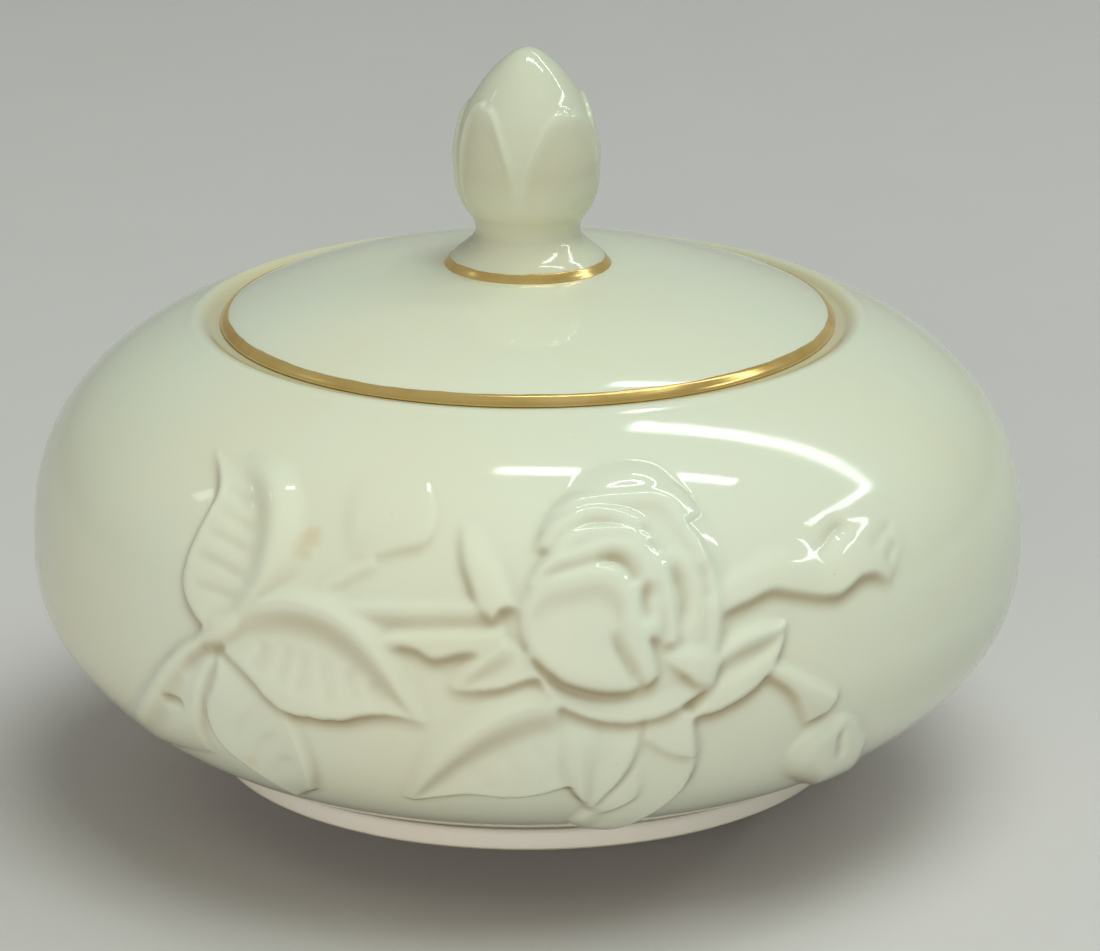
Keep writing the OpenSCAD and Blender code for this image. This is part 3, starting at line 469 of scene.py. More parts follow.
def stroke(h, depth, width, pts):
    c = smooth(flat(pts), 70)
    w = window(c, 4 * width)
    gx, gy = np.meshgrid(GX[w[1]], GY[w[0]])
    d2 = (gx[..., None] - c[:, 0]) ** 2 + (gy[..., None] - c[:, 1]) ** 2
    t = d2.argmin(-1) / 69.0
    fade = np.clip(np.minimum(t, 1 - t) / 0.28, 0, 1) ** 0.8
    h[w] += depth * fade * np.exp(-0.5 * d2.min(-1) / width**2)


def mound(h, height, fall, pts):
    c = flat(pts)
    c = smooth(np.vstack([c, c[:1]]), 260)[:-1]
    w = window(c, 1.0)
    gx, gy = np.meshgrid(GX[w[1]], GY[w[0]])
    inside = np.zeros(gx.shape, bool)
    for (xa, ya), (xb, yb) in zip(c, np.roll(c, -1, 0)):
        cross = (ya > gy) != (yb > gy)
        with np.errstate(divide="ignore", invalid="ignore"):
            xs = (xb - xa) * (gy - ya) / (yb - ya) + xa
        inside ^= cross & (gx < xs)
    d = np.sqrt(((gx[..., None] - c[:, 0]) ** 2 + (gy[..., None] - c[:, 1]) ** 2).min(-1))
    t = np.clip(d / fall, 0, 1)
    h[w] = np.maximum(h[w], np.where(inside, height * (0.55 * t * t * (3 - 2 * t) + 0.45 * (1 - (1 - t) ** 2)), 0))


def round_over(h, reach=7):
    """Roll every edge over: the mean of the lowest heights within growing radii, weighted so a
    step becomes a quarter-round standing on its own foot line."""
    k = np.arange(reach + 1)
    prof = np.sqrt(1 - (1 - np.clip((k + 0.5) / reach, 0, 1)) ** 2)
    w = np.diff(np.r_[0, prof])
    out, low = w[0] * h, h.copy()
    pad = np.pad(h, reach, mode="edge")
    for r in range(1, reach + 1):
        for dy in range(-r, r + 1):
            for dx in range(-r, r + 1):
                if (r - 1) ** 2 < dx * dx + dy * dy <= r * r:
                    low = np.minimum(low, pad[reach + dy : reach + dy + h.shape[0], reach + dx : reach + dx + h.shape[1]])
        out = out + w[r] * low
    return out / w.sum()


def build_relief():
    h = np.zeros((NY, NX))
    made = False
    for name, mode, rails in LOFTS:
        if name == "R_low" and not made:
            for _, height, fall, pts in MOUNDS:
                mound(h, height, fall, pts)
            made = True
        h = loft(h, mode, rails)
    soft = blur(round_over(blur(h, 0.8)), 1.0)
    for _, depth, width, pts in STROKES:
        stroke(soft, depth, width, pts)
    soft = blur(soft, 1.1)
    # painted shade, partly glaze gathered in narrow hollows: darker in the hollows, under each raised edge where its
    # shadow falls, on downward-facing edge faces and lower lips, with a dark line below the lower edges
    near = blur(soft, 3.5)
    above = np.vstack([near[6:], np.repeat(near[-1:], 6, 0)])
    up2, dn2 = np.vstack([soft[2:], soft[-1:], soft[-1:]]), np.vstack([soft[:1], soft[:1], soft[:-2]])
    low = np.clip((22 - np.interp(GY, SKIN_P, SKIN[:, 1])) / 12, 0, 1)[:, None]
    brow = np.clip(((up2 - dn2) / (4 * CELL) - 0.3 + 0.18 * low) / 0.55, 0, 1) * (0.5 + 0.5 * low)
    pool_and_shade = np.clip((near - soft) / 0.4, 0, 1) * 0.45 + np.clip((above - soft) / 0.55, 0, 1) * 0.8 + 0.9 * brow
    under = np.clip((36 - np.interp(GY, SKIN_P, SKIN[:, 1])) / 14, 0, 1)[:, None]
    line = np.clip((above - soft - 0.22) / 0.4, 0, 1) * under * (brow + 0.85 * (1 - brow) * np.clip(2 * low, 0, 1))
    below = np.vstack([np.repeat(near[:1], 6, 0), near[:-6]])
    lip = np.clip((soft - below - 0.5) / 0.4, 0, 1) * np.clip((19 - np.interp(GY, SKIN_P, SKIN[:, 1])) / 8, 0, 1)[:, None]
    return soft, blur(np.clip(pool_and_shade + 0.9 * lip, 0, 1) + 0.85 * line + 0.35 * lip, 1.0)


# the second raster darkens the glaze: painted shade under edges and in hollows, partly glaze pooling
RELIEF, POOL_AND_SHADE = build_relief()


def relief_at(az, psi, g):
    """The raster g at azimuths az (columns) and conformal heights psi (rows)."""
    a = (az + 180.0) % 360.0 - 180.0
    back = np.abs(a) > 90
    a = np.where(back, (a + 360.0) % 360.0 - 180.0, a)
    fx = (np.radians(a) * R0 - X0) / CELL
    fy = (psi - Y0) / CELL
    inx, iny = (fx >= 0) & (fx < NX - 1), (fy >= 0) & (fy < NY - 1)
    ix, iy = np.clip(fx.astype(int), 0, NX - 2), np.clip(fy.astype(int), 0, NY - 2)
    tx, ty = np.clip(fx - ix, 0, 1), np.clip(fy - iy, 0, 1)[:, None]
    top = g[np.ix_(iy, ix)] * (1 - tx) + g[np.ix_(iy, ix + 1)] * tx
    bot = g[np.ix_(iy + 1, ix)] * (1 - tx) + g[np.ix_(iy + 1, ix + 1)] * tx
    return (top * (1 - ty) + bot * ty) * (inx[None, :] & iny[:, None])


# ---------------------------------------------------------------- meshes
def revolve(name, rows, az, push=None, cap_start=False, cap_end=False, loop=False):
    """A turned mesh. rows is (r, z), az is degrees round from the front, and push moves each
    vertex along the profile's normal. cap_* closes an end on the axis; loop joins last row to first."""
    rows = np.asarray(rows, float)
    n, m = len(rows), len(az)
    nrm = frames(rows)
    push = np.zeros((n, m)) if push is None else push
    r = rows[:, :1] + nrm[:, :1] * push
    z = rows[:, 1:] + nrm[:, 1:] * push
    a = np.radians(np.asarray(az))[None, :]
    v = np.stack([r * np.sin(a), -r * np.cos(a), z + 0 * a], -1).reshape(-1, 3)
    i, j = np.meshgrid(np.arange(n if loop else n - 1), np.arange(m), indexing="ij")
    i2, j2 = (i + 1) % n, (j + 1) % m
    quads = np.stack([i * m + j, i * m + j2, i2 * m + j2, i2 * m + j], -1).reshape(-1, 4)
    verts = [v]
    tris = []
    count = n * m
    if cap_start:
        verts.append([[0, 0, rows[0, 1]]])
        tris += [[count, (k + 1) % m, k] for k in range(m)]
        count += 1
    if cap_end:
        verts.append([[0, 0, rows[-1, 1]]])
        b = (n - 1) * m
        tris += [[count, b + k, b + (k + 1) % m] for k in range(m)]
        count += 1
    return mesh_from(name, np.vstack(verts), quads, tris)


def mesh_from(name, verts, quads, tris=()):
    me = bpy.data.meshes.new(name)
    nq, nt = len(quads), len(tris)
    me.vertices.add(len(verts))
    me.vertices.foreach_set("co", (np.asarray(verts, float) * 0.001).astype(np.float32).ravel())
    idx = np.asarray(quads, np.int32).ravel()
    if nt:
        idx = np.r_[idx, np.asarray(tris, np.int32).ravel()]
    me.loops.add(len(idx))
    me.loops.foreach_set("vertex_index", idx)
    me.polygons.add(nq + nt)
    start = np.r_[np.arange(nq) * 4, nq * 4 + np.arange(nt) * 3].astype(np.int32)
    me.polygons.foreach_set("loop_start", start)
    me.polygons.foreach_set("use_smooth", np.ones(nq + nt, bool))
    me.update(calc_edges=True)
    me.validate()
    ob = bpy.data.objects.new(name, me)
    scene.collection.objects.link(ob)
    return ob


def put(ob, body, mats, slot, *nodes):
    for m in mats if isinstance(mats, (list, tuple)) else [mats]:
        ob.data.materials.append(m)
    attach(ob, body)
    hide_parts(*nodes)
    return ob


def drift(az, z, amp, seed=0.0):
    """Slow unevenness of a slip-cast, hand-fettled wall, in mm."""
    a = np.radians(np.asarray(az))[None, :]
    z = np.asarray(z)[:, None]
    w = (
        np.sin(2 * a + 0.6 + seed) * np.sin(z * 0.11 + 1.3)
        + 0.7 * np.sin(3 * a - z * 0.09 + 2.1 + seed)
        + 0.5 * np.sin(5 * a + z * 0.17 + 0.4 - seed)
        + 0.35 * np.sin(8 * a - z * 0.21 + 4.0 + seed)
    )
    return amp * w / 2.55


# ---------------------------------------------------------------- materials
def nodes_of(name):
    m = bpy.data.materials.new(name)
    m.use_nodes = True
    nt = m.node_tree
    return m, nt, nt.nodes["Principled BSDF"]


def add(nt, kind, **kw):
    n = nt.nodes.new(kind)
    for k, v in kw.items():
        if hasattr(n, k):
            setattr(n, k, v)
        else:
            n.inputs[k.replace("_", " ")].default_value = v
    return n


def ramp(nt, src, stops):
    r = nt.nodes.new("ShaderNodeValToRGB")
    els = r.color_ramp.elements
    while len(els) < len(stops):
        els.new(0.5)
    for e, (p, c) in zip(els, stops):
        e.position = p
        e.color = (*c, 1) if len(c) == 3 else c
    nt.links.new(src, r.inputs["Fac"])
    return r


def noise(nt, scale, detail=3.0, rough=0.5, dist=0.0, vec=None):
    t = nt.nodes.new("ShaderNodeTexNoise")
    t.inputs["Scale"].default_value = scale
    t.inputs["Detail"].default_value = detail
    t.inputs["Roughness"].default_value = rough
    t.inputs["Distortion"].default_value = dist
    nt.links.new(vec, t.inputs["Vector"])
    return t


def mix_colour(nt, fac, a, b, mode="MIX"):
    x = nt.nodes.new("ShaderNodeMix")
    x.data_type = "RGBA"
    x.blend_type = mode
    for s, v in ((x.inputs["Factor"], fac), (x.inputs["A"], a), (x.inputs["B"], b)):
        if isinstance(v, (int, float)):
            s.default_value = v
        elif isinstance(v, tuple):
            s.default_value = (*v, 1)
        else:
            nt.links.new(v, s)
    # the colour sockets share their names with the number sockets
    ins = [s for s in x.inputs if s.type == "RGBA"]
    for s, v in zip(ins, (a, b)):
        if isinstance(v, tuple):
            s.default_value = (*v, 1)
        else:
            nt.links.new(v, s)
    return [o for o in x.outputs if o.type == "RGBA"][0]


def maths(nt, op, a, b=None):
    n = nt.nodes.new("ShaderNodeMath")
    n.operation = op
    for s, v in zip(n.inputs, (a, b)):
        if v is None:
            continue
        if isinstance(v, (int, float)):
            s.default_value = v
        else:
            nt.links.new(v, s)
    return n.outputs[0]


IVORY = (0.715, 0.740, 0.590)
IVORY_WARM = (0.725, 0.725, 0.555)
IVORY_COOL = (0.700, 0.745, 0.610)


def porcelain(name, stains=(), specks=True, pooled_and_shaded=False, tone=(1.0, 1.0, 1.0)):
    m, nt, b = nodes_of(name)
    geo = nt.nodes.new("ShaderNodeTexCoord").outputs["Object"]
    cloud = noise(nt, 22, 3, 0.55, 0.4, geo)
    warm, mean, cool = [tuple(a * b for a, b in zip(c, tone)) for c in (IVORY_WARM, IVORY, IVORY_COOL)]
    body = ramp(nt, cloud.outputs["Fac"], [(0.32, warm), (0.5, mean), (0.7, cool)])
    col = body.outputs["Color"]
    if specks:
        pin = noise(nt, 1400, 2, 0.5, 0, geo)
        dots = ramp(nt, pin.outputs["Fac"], [(0.735, (0, 0, 0)), (0.775, (1, 1, 1))])
        rare = noise(nt, 60, 1, 0.5, 0, geo)
        some = ramp(nt, rare.outputs["Fac"], [(0.58, (0, 0, 0)), (0.66, (1, 1, 1))])
        f = maths(nt, "MULTIPLY", dots.outputs["Color"], some.outputs["Color"])
        f = maths(nt, "MULTIPLY", f, 0.35)
        col = mix_colour(nt, f, col, (0.42, 0.36, 0.24))
    for (x, y, z), size, strength in stains:
        d = nt.nodes.new("ShaderNodeVectorMath")
        d.operation = "DISTANCE"
        nt.links.new(geo, d.inputs[0])
        d.inputs[1].default_value = (x * 0.001, y * 0.001, z * 0.001)
        wob = noise(nt, 420, 2, 0.5, 0, geo)
        dist = maths(nt, "ADD", d.outputs["Value"], maths(nt, "MULTIPLY", wob.outputs["Fac"], size * 0.0011))
        s = ramp(nt, maths(nt, "DIVIDE", dist, size * 0.001 * 1.9), [(0.25, (1, 1, 1)), (0.95, (0, 0, 0))])
        col = mix_colour(nt, maths(nt, "MULTIPLY", s.outputs["Color"], strength), col, (0.64, 0.45, 0.22))
    if pooled_and_shaded:
        # painted shade, partly glaze pooling: a point attribute darkens the glaze toward a warm brown
        thick = nt.nodes.new("ShaderNodeAttribute")
        thick.attribute_name = "pool_and_shade"
        some = maths(nt, "MULTIPLY", maths(nt, "MINIMUM", thick.outputs["Fac"], 1.0), 0.9)
        col = mix_colour(nt, some, col, (0.45, 0.385, 0.24))
        # above 1 the tint runs to near black-brown: painted shade for the crease over the foot and the darkest lines
        # under raised edges
        deep_shade = maths(nt, "MULTIPLY", maths(nt, "MAXIMUM", maths(nt, "SUBTRACT", thick.outputs["Fac"], 1.0), 0.0), 1.0)
        col = mix_colour(nt, deep_shade, col, (0.10, 0.078, 0.055))
        # gold-coloured tint in the gutter beside the lid: painted reflection of the lid's gold rim
        gilt = nt.nodes.new("ShaderNodeAttribute")
        gilt.attribute_name = "gilt"
        col = mix_colour(nt, maths(nt, "MULTIPLY", gilt.outputs["Fac"], 0.32), col, (0.60, 0.47, 0.17))
    nt.links.new(col, b.inputs["Base Color"])
    # a fired glaze: nearly mirror smooth, with a faint ripple and fine wear
    haze = noise(nt, 90, 4, 0.6, 0.2, geo)
    rr = ramp(nt, haze.outputs["Fac"], [(0.35, (0.055, 0.055, 0.055)), (0.75, (0.115, 0.115, 0.115))])
    rough = maths(nt, "ADD", rr.outputs["Color"], maths(nt, "MULTIPLY", deep_shade, 0.45)) if pooled_and_shaded else rr.outputs["Color"]
    nt.links.new(rough, b.inputs["Roughness"])
    ripple = noise(nt, 240, 2, 0.5, 0, geo)
    bump = nt.nodes.new("ShaderNodeBump")
    bump.inputs["Strength"].default_value = 0.10
    bump.inputs["Distance"].default_value = 0.00012
    nt.links.new(ripple.outputs["Fac"], bump.inputs["Height"])
    nt.links.new(bump.outputs["Normal"], b.inputs["Normal"])
    b.inputs["IOR"].default_value = 1.52
    b.inputs["Specular IOR Level"].default_value = 0.5
    b.inputs["Subsurface Weight"].default_value = 0.22
    b.inputs["Subsurface Radius"].default_value = (1.0, 0.85, 0.5)
    b.inputs["Subsurface Scale"].default_value = 0.0016
    return m


def gold():
    m, nt, b = nodes_of("burnished_gold")
    geo = nt.nodes.new("ShaderNodeTexCoord").outputs["Object"]
    tone = noise(nt, 95, 3, 0.55, 0.2, geo)
    col = ramp(nt, tone.outputs["Fac"], [(0.30, (0.74, 0.48, 0.15)), (0.5, (0.86, 0.59, 0.20)), (0.72, (0.94, 0.70, 0.29))])
    fine = noise(nt, 900, 3, 0.6, 0, geo)
    wear = ramp(nt, fine.outputs["Fac"], [(0.66, (0, 0, 0)), (0.76, (1, 1, 1))])
    c = mix_colour(nt, maths(nt, "MULTIPLY", wear.outputs["Color"], 0.3), col.outputs["Color"], (0.42, 0.29, 0.12))
    nt.links.new(c, b.inputs["Base Color"])
    rough = ramp(nt, tone.outputs["Fac"], [(0.3, (0.15, 0.15, 0.15)), (0.75, (0.28, 0.28, 0.28))])
    nt.links.new(rough.outputs["Color"], b.inputs["Roughness"])
    bump = nt.nodes.new("ShaderNodeBump")
    bump.inputs["Strength"].default_value = 0.2
    bump.inputs["Distance"].default_value = 0.00003
    nt.links.new(fine.outputs["Fac"], bump.inputs["Height"])
    nt.links.new(bump.outputs["Normal"], b.inputs["Normal"])
    b.inputs["Metallic"].default_value = 0.7
    return m


def biscuit():
    m, nt, b = nodes_of("unglazed_foot")
    geo = nt.nodes.new("ShaderNodeTexCoord").outputs["Object"]
    grain = noise(nt, 900, 5, 0.7, 0, geo)
    dirt = noise(nt, 70, 4, 0.6, 0.3, geo)
    col = ramp(nt, dirt.outputs["Fac"], [(0.35, (0.52, 0.47, 0.37)), (0.6, (0.70, 0.66, 0.54))])
    c = mix_colour(nt, maths(nt, "MULTIPLY", grain.outputs["Fac"], 0.25), col.outputs["Color"], (0.45, 0.40, 0.31))
    nt.links.new(c, b.inputs["Base Color"])
    rough = ramp(nt, grain.outputs["Fac"], [(0.3, (0.62, 0.62, 0.62)), (0.7, (0.85, 0.85, 0.85))])
    nt.links.new(rough.outputs["Color"], b.inputs["Roughness"])
    bump = nt.nodes.new("ShaderNodeBump")
    bump.inputs["Strength"].default_value = 0.5
    bump.inputs["Distance"].default_value = 0.0001
    nt.links.new(grain.outputs["Fac"], bump.inputs["Height"])
    nt.links.new(bump.outputs["Normal"], b.inputs["Normal"])
    return m


def on_skin(a, z, out=1.0):
    r = float(np.interp(z, SKIN[:, 1], SKIN[:, 0])) + out
    return (r * math.sin(math.radians(a)), -r * math.cos(math.radians(a)), z)


GLAZE = porcelain("ivory_glaze_bowl", pooled_and_shaded=True, stains=[(on_skin(-25.4, 45.6), 1.5, 0.7), (on_skin(-26.0, 43.9), 1.3, 0.75), (on_skin(-33.3, 15.8), 1.4, 0.4)])
GLAZE_LID = porcelain("ivory_glaze_lid")
# the knob's glaze is a darker copy of the bowl's: painted shade
GLAZE_KNOB_PAINTED_SHADE = porcelain("ivory_glaze_knob", specks=False, pooled_and_shaded=True, tone=(0.86, 0.86, 0.84))
# the foot's glaze is a lighter, pinker copy of the bowl's: painted light, bounced up onto the foot
GLAZE_FOOT_PAINTED_LIGHT = porcelain("ivory_glaze_foot", pooled_and_shaded=True, tone=(1.19, 1.10, 1.21))
GOLD = gold()
BISCUIT = biscuit()

# ---------------------------------------------------------------- bowl
TURN = np.sort(
    np.concatenate(
        [
            np.linspace(-61, 57, 440, endpoint=False),
            np.linspace(57, 119, 66, endpoint=False),
            np.linspace(119, 237, 440, endpoint=False),
            np.linspace(237, 299, 66, endpoint=False),
        ]
    )
)


def bowl():
    under = smooth([(41.6, 3.75), (42.3, 3.76), (42.65, 3.8), (42.95, 3.96)], 6)
    z_lo, z_hi = 4.05, 56.6
    mid = SKIN[(SKIN[:, 1] > z_lo) & (SKIN[:, 1] < z_hi)]
    mid = resample(mid, 262)
    crest = smooth(
        [mid[-1], (43.0, 56.93), (42.55, 57.10), (42.1, 57.16), (41.65, 57.1), (41.2, 56.93), (40.8, 56.7),
         (40.45, 56.5), (40.1, 56.41), (39.6, 56.4)], 34)[1:]
    ledge = smooth([(39.6, 56.4), (38, 56.4), (36.6, 56.4)], 5)[1:]
    mouth = smooth([(36.6, 56.4), (36.1, 56.34), (35.72, 56.1), (35.55, 55.7), (35.5, 55.2)], 8)[1:]
    throat = smooth([(35.5, 55.2), (35.5, 54.3), (35.62, 53.7), (36.1, 53.25), (37.0, 53.1)], 10)[1:]
    inner_hi = smooth([(37.0, 53.1), (40.0, 53.0), tuple(IN_HIGH[0])], 8)[1:]
    inner = resample(dedupe(np.vstack([IN_HIGH, IN_LOW])), 60)[1:]
    last = inner[-1]
    floor = smooth([tuple(last), (24, 7.55), (12, 7.38), (0.8, 7.35)], 12)[1:]
    base = smooth([(0.8, 3.75), (14, 3.75), (28, 3.75), (41.6, 3.75)], 10)[:-1]
    rows = np.vstack([base, under, mid, crest, ledge, mouth, throat, inner_hi, inner, floor])
    n0 = len(base) + len(under)
    n1 = n0 + len(mid)
    push = np.zeros((len(rows), len(TURN)))
    psi = np.interp(np.arange(n1 - n0), np.arange(n1 - n0), np.interp(
        np.r_[0, np.cumsum(np.linalg.norm(np.diff(mid, axis=0), axis=1))] + np.interp(mid[0, 1], SKIN[:, 1], SKIN_S),
        SKIN_S, SKIN_P))
    push[n0:n1] = relief_at(TURN, psi, RELIEF)
    pool_and_shade = np.zeros(push.shape)
    pool_and_shade[n0:n1] = relief_at(TURN, psi, POOL_AND_SHADE)
    # painted shade, partly glaze pooled: darker in the gutter round the lid and in the crease over the foot, darkest
    # low down by the foot; the gutter also takes a gold-coloured tint that is a painted reflection of the lid's gold
    # rim
    gutter = np.clip((42.6 - rows[:, 0]) / 2.2, 0, 1) * (rows[:, 1] > 56.3) * np.clip((rows[:, 0] - 38.4) / 0.8, 0, 1)
    crease = np.clip((9.6 - rows[:, 1]) / 4.2, 0, 1) ** 1.4 * (rows[:, 0] > 42)
    pool_and_shade += 0.5 * gutter[:, None] + 0.9 * crease[:, None] + 0.9 * np.clip((6.7 - rows[:, 1]) / 1.6, 0, 1)[:, None] * (rows[:, 0] > 42)[:, None]
    ease = np.clip(np.minimum((mid[:, 1] - 4) / 6, (57.2 - mid[:, 1]) / 5), 0, 1)
    push[n0:n1] += drift(TURN, mid[:, 1], 0.05) * ease[:, None]
    ob = revolve("bowl_body", rows, TURN, push, cap_start=True, cap_end=True)
    at = ob.data.attributes.new("pool_and_shade", "FLOAT", "POINT")
    at.data.foreach_set("value", np.r_[np.clip(pool_and_shade, 0, 2).ravel(), 0, 0].astype(np.float32))
    at = ob.data.attributes.new("gilt", "FLOAT", "POINT")
    at.data.foreach_set("value", np.r_[np.repeat(gutter, len(TURN)), 0, 0].astype(np.float32))
    return put(ob, "bowl", GLAZE, "porcelain", "bowl_shell", "rose_front", "rose_back", "left_spray_front",
               "left_spray_back", "lower_leaves_front", "lower_leaves_back", "bud_spray_front", "bud_spray_back")


def foot():
    az = np.linspace(0, 360, 288, endpoint=False)
    rows = np.vstack([
        smooth([(36.5, 3.72), (36.45, 2.4), (36.55, 1.2), (36.8, 0.5), (37.3, 0.12), (37.9, 0.0)], 16),
        smooth([(37.9, 0.0), (39.2, 0.0), (40.1, 0.0)], 6)[1:],
        smooth([(40.1, 0.0), (40.55, 0.07), (40.83, 0.3), (40.93, 0.7), (41.0, 1.4), (41.05, 2.2), (41.2, 2.7),
                (41.7, 3.15), (42.35, 3.52), (42.8, 3.78)], 24)[1:],
        smooth([(42.8, 3.78), (42.0, 3.74), (39.5, 3.72), (36.5, 3.72)], 6)[1:-1],
    ])
    wob = drift(az, rows[:, 1] * 3, 0.03, 1.7)
    ob = revolve("foot_ring_cast", rows, az, wob, loop=True)
    # painted shade: the top of the foot ring, by the crease, runs to near black-brown
    pool_and_shade = 1.5 * np.clip((rows[:, 1] - 2.9) / 0.7, 0, 1) * (rows[:, 0] > 40)
    at = ob.data.attributes.new("pool_and_shade", "FLOAT", "POINT")
    at.data.foreach_set("value", np.repeat(pool_and_shade, len(az)).astype(np.float32))
    me = ob.data
    put(ob, "bowl", [GLAZE_FOOT_PAINTED_LIGHT, BISCUIT], "foot_biscuit", "foot_ring")
    zc = np.empty(len(me.polygons) * 3)
    me.polygons.foreach_get("center", zc)
    zc = zc.reshape(-1, 3)
    rc = np.hypot(zc[:, 0], zc[:, 1]) * 1000
    me.polygons.foreach_set("material_index", ((zc[:, 2] * 1000 < 0.32) & (rc < 40.95)).astype(np.int32))
    me.update()
    return ob


bowl()
foot()

# ---------------------------------------------------------------- lid
LID_Z, ARRIS = 56.45, 57.70


def dome(r):
    return ARRIS + 6.26 * (1 - (np.asarray(r, float) / 38.3) ** 2.8)


def lid():
    az = np.linspace(0, 360, 360, endpoint=False)
    r = np.linspace(37.95, 9.0, 84)
    top = np.stack([r, dome(r) - 0.13 * np.clip((r - 35.6) / 2.7, 0, 1) ** 2], 1)
    edge = smooth([(38.9, 56.5), (39.02, 56.62), (38.86, 56.95), (38.45, 57.38), (38.27, 57.56), (38.12, 57.66),
                   tuple(top[0])], 24)
    rin = np.linspace(0.8, 31.2, 34)
    under_mid = np.stack([rin, dome(rin) - 3.3], 1)[::-1]
    under = smooth([(31.8, 56.6), (33.5, 56.45), (36, 56.45), (38.4, 56.45), (38.9, 56.5)], 12)[:-1]
    hid = smooth([tuple(top[-1]), (5, 63.9), (0.8, 63.9)], 6)[1:]
    rows = np.vstack([under_mid[::-1], under, edge[:-1], top, hid])
    push = np.zeros((len(rows), len(az)))
    k = len(under_mid) + len(under) + len(edge) - 1
    ease = np.clip((38.3 - top[:, 0]) / 6, 0, 1)
    push[k : k + len(top)] = drift(az, top[:, 0] * 1.6, 0.035, 0.9) * ease[:, None]
    ob = revolve("lid_body", rows, az, push, cap_start=True, cap_end=True)
    return put(ob, "lid", GLAZE_LID, "porcelain", "lid_dome")


def flange():
    az = np.linspace(0, 360, 240, endpoint=False)
    rows = np.vstack([
        smooth([(31.8, 56.5), (31.8, 54), (31.8, 51.9), (31.95, 51.1), (32.4, 50.62), (33.2, 50.5)], 22),
        smooth([(33.2, 50.5), (34.1, 50.55), (34.68, 50.95), (34.88, 51.7), (34.9, 54), (34.9, 56.1), (35.1, 56.35),
                (35.6, 56.44)], 26)[1:],
        smooth([(35.6, 56.44), (34, 56.5), (31.8, 56.5)], 4)[1:-1],
    ])
    ob = revolve("lid_locating_ring", rows, az, drift(az, rows[:, 1] * 2, 0.02, 2.6), loop=True)
    return put(ob, "lid_ring", GLAZE_LID, "flange_glaze", "lid_flange")


def rim_gold():
    """Gold brushed round the lid's edge by hand, a little uneven where it meets the glaze."""
    az = np.linspace(0, 360, 720, endpoint=False)
    a = np.radians(az)
    path = dedupe(smooth([(38.6, 56.44), (38.95, 56.47), (39.12, 56.6), (38.96, 56.98), (38.55, 57.42), (38.36, 57.60),
                          (38.17, 57.71), (37.8, 57.87)], 400))
    s = np.r_[0, np.cumsum(np.linalg.norm(np.diff(path, axis=0), axis=1))]
    wave = (0.10 * np.sin(3 * a + 0.7) + 0.06 * np.sin(7 * a + 2.2) + 0.035 * np.sin(19 * a + 1.0)
            + 0.025 * np.sin(41 * a + 0.3) + 0.015 * np.sin(83 * a))
    full = s[-1] - 0.32 + wave
    n = 22
    t = np.linspace(0, 1, n)[:, None]
    ss = t * full[None, :]
    r, z = np.interp(ss, s, path[:, 0]), np.interp(ss, s, path[:, 1])
    nrm = frames(path)
    nr, nz = np.interp(ss, s, nrm[:, 0]), np.interp(ss, s, nrm[:, 1])
    thick = 0.035 * np.sin(np.pi * np.clip(t, 0, 1)) ** 0.35
    back = -0.06
    return shell("lid_rim_gold", r, z, nr, nz, thick + 0 * ss, back, az)


def shell(name, r, z, nr, nz, thick, back, az):
    """A thin closed band: its face stands thick off the surface and its back sits below it."""
    a = np.radians(az)[None, :]

    def pts(off):
        rr, zz = r + nr * off, z + nz * off
        return np.stack([rr * np.sin(a), -rr * np.cos(a), zz], -1)

    n, m = r.shape
    face, rear = pts(thick), pts(np.full_like(thick, back))
    v = np.concatenate([face, rear[::-1]]).reshape(-1, 3)
    k = 2 * n
    i, j = np.meshgrid(np.arange(k), np.arange(m), indexing="ij")
    i2, j2 = (i + 1) % k, (j + 1) % m
    q = np.stack([i * m + j, i * m + j2, i2 * m + j2, i2 * m + j], -1).reshape(-1, 4)
    return mesh_from(name, v, q)


lid()
flange()
put(rim_gold(), "lid", GOLD, "gilding", "lid_rim_gilding")

# ---------------------------------------------------------------- knob
KNOB = [(10.42, 63.80), (10.34, 64.05), (10.05, 64.5), (9.62, 65.0), (9.1, 65.5), (8.45, 66.0), (7.8, 66.55),
        (7.2, 67.15), (6.8, 67.8), (6.66, 68.45), (6.78, 69.3), (7.15, 70.1), (7.72, 70.9), (8.3, 71.9), (8.72, 73.0),
        (9.05, 74.1), (9.32, 75.6), (9.46, 77.2), (9.46, 78.4), (9.3, 79.8), (8.98, 81.3), (8.52, 82.9), (7.9, 84.4),
        (7.05, 85.9), (6.05, 87.3), (4.95, 88.6), (3.85, 89.7), (2.75, 90.6), (1.7, 91.3), (0.9, 91.62), (0.35, 91.72)]
# centre (degrees), half width (degrees), lean of the tip (degrees), foot and tip heights, standing out, squareness
PETALS = [
    (178, 50, 0, 69.5, 86.4, 0.34, 2.2),
    (-115, 40, 6, 69.5, 85.4, 0.36, 2.2),
    (106, 46, -6, 69.5, 86.6, 0.30, 2.2),
    (35, 44, 9, 69.5, 85.4, 0.24, 3.0),
    (-38, 31, -12, 69.0, 86.2, 0.48, 3.4),
]


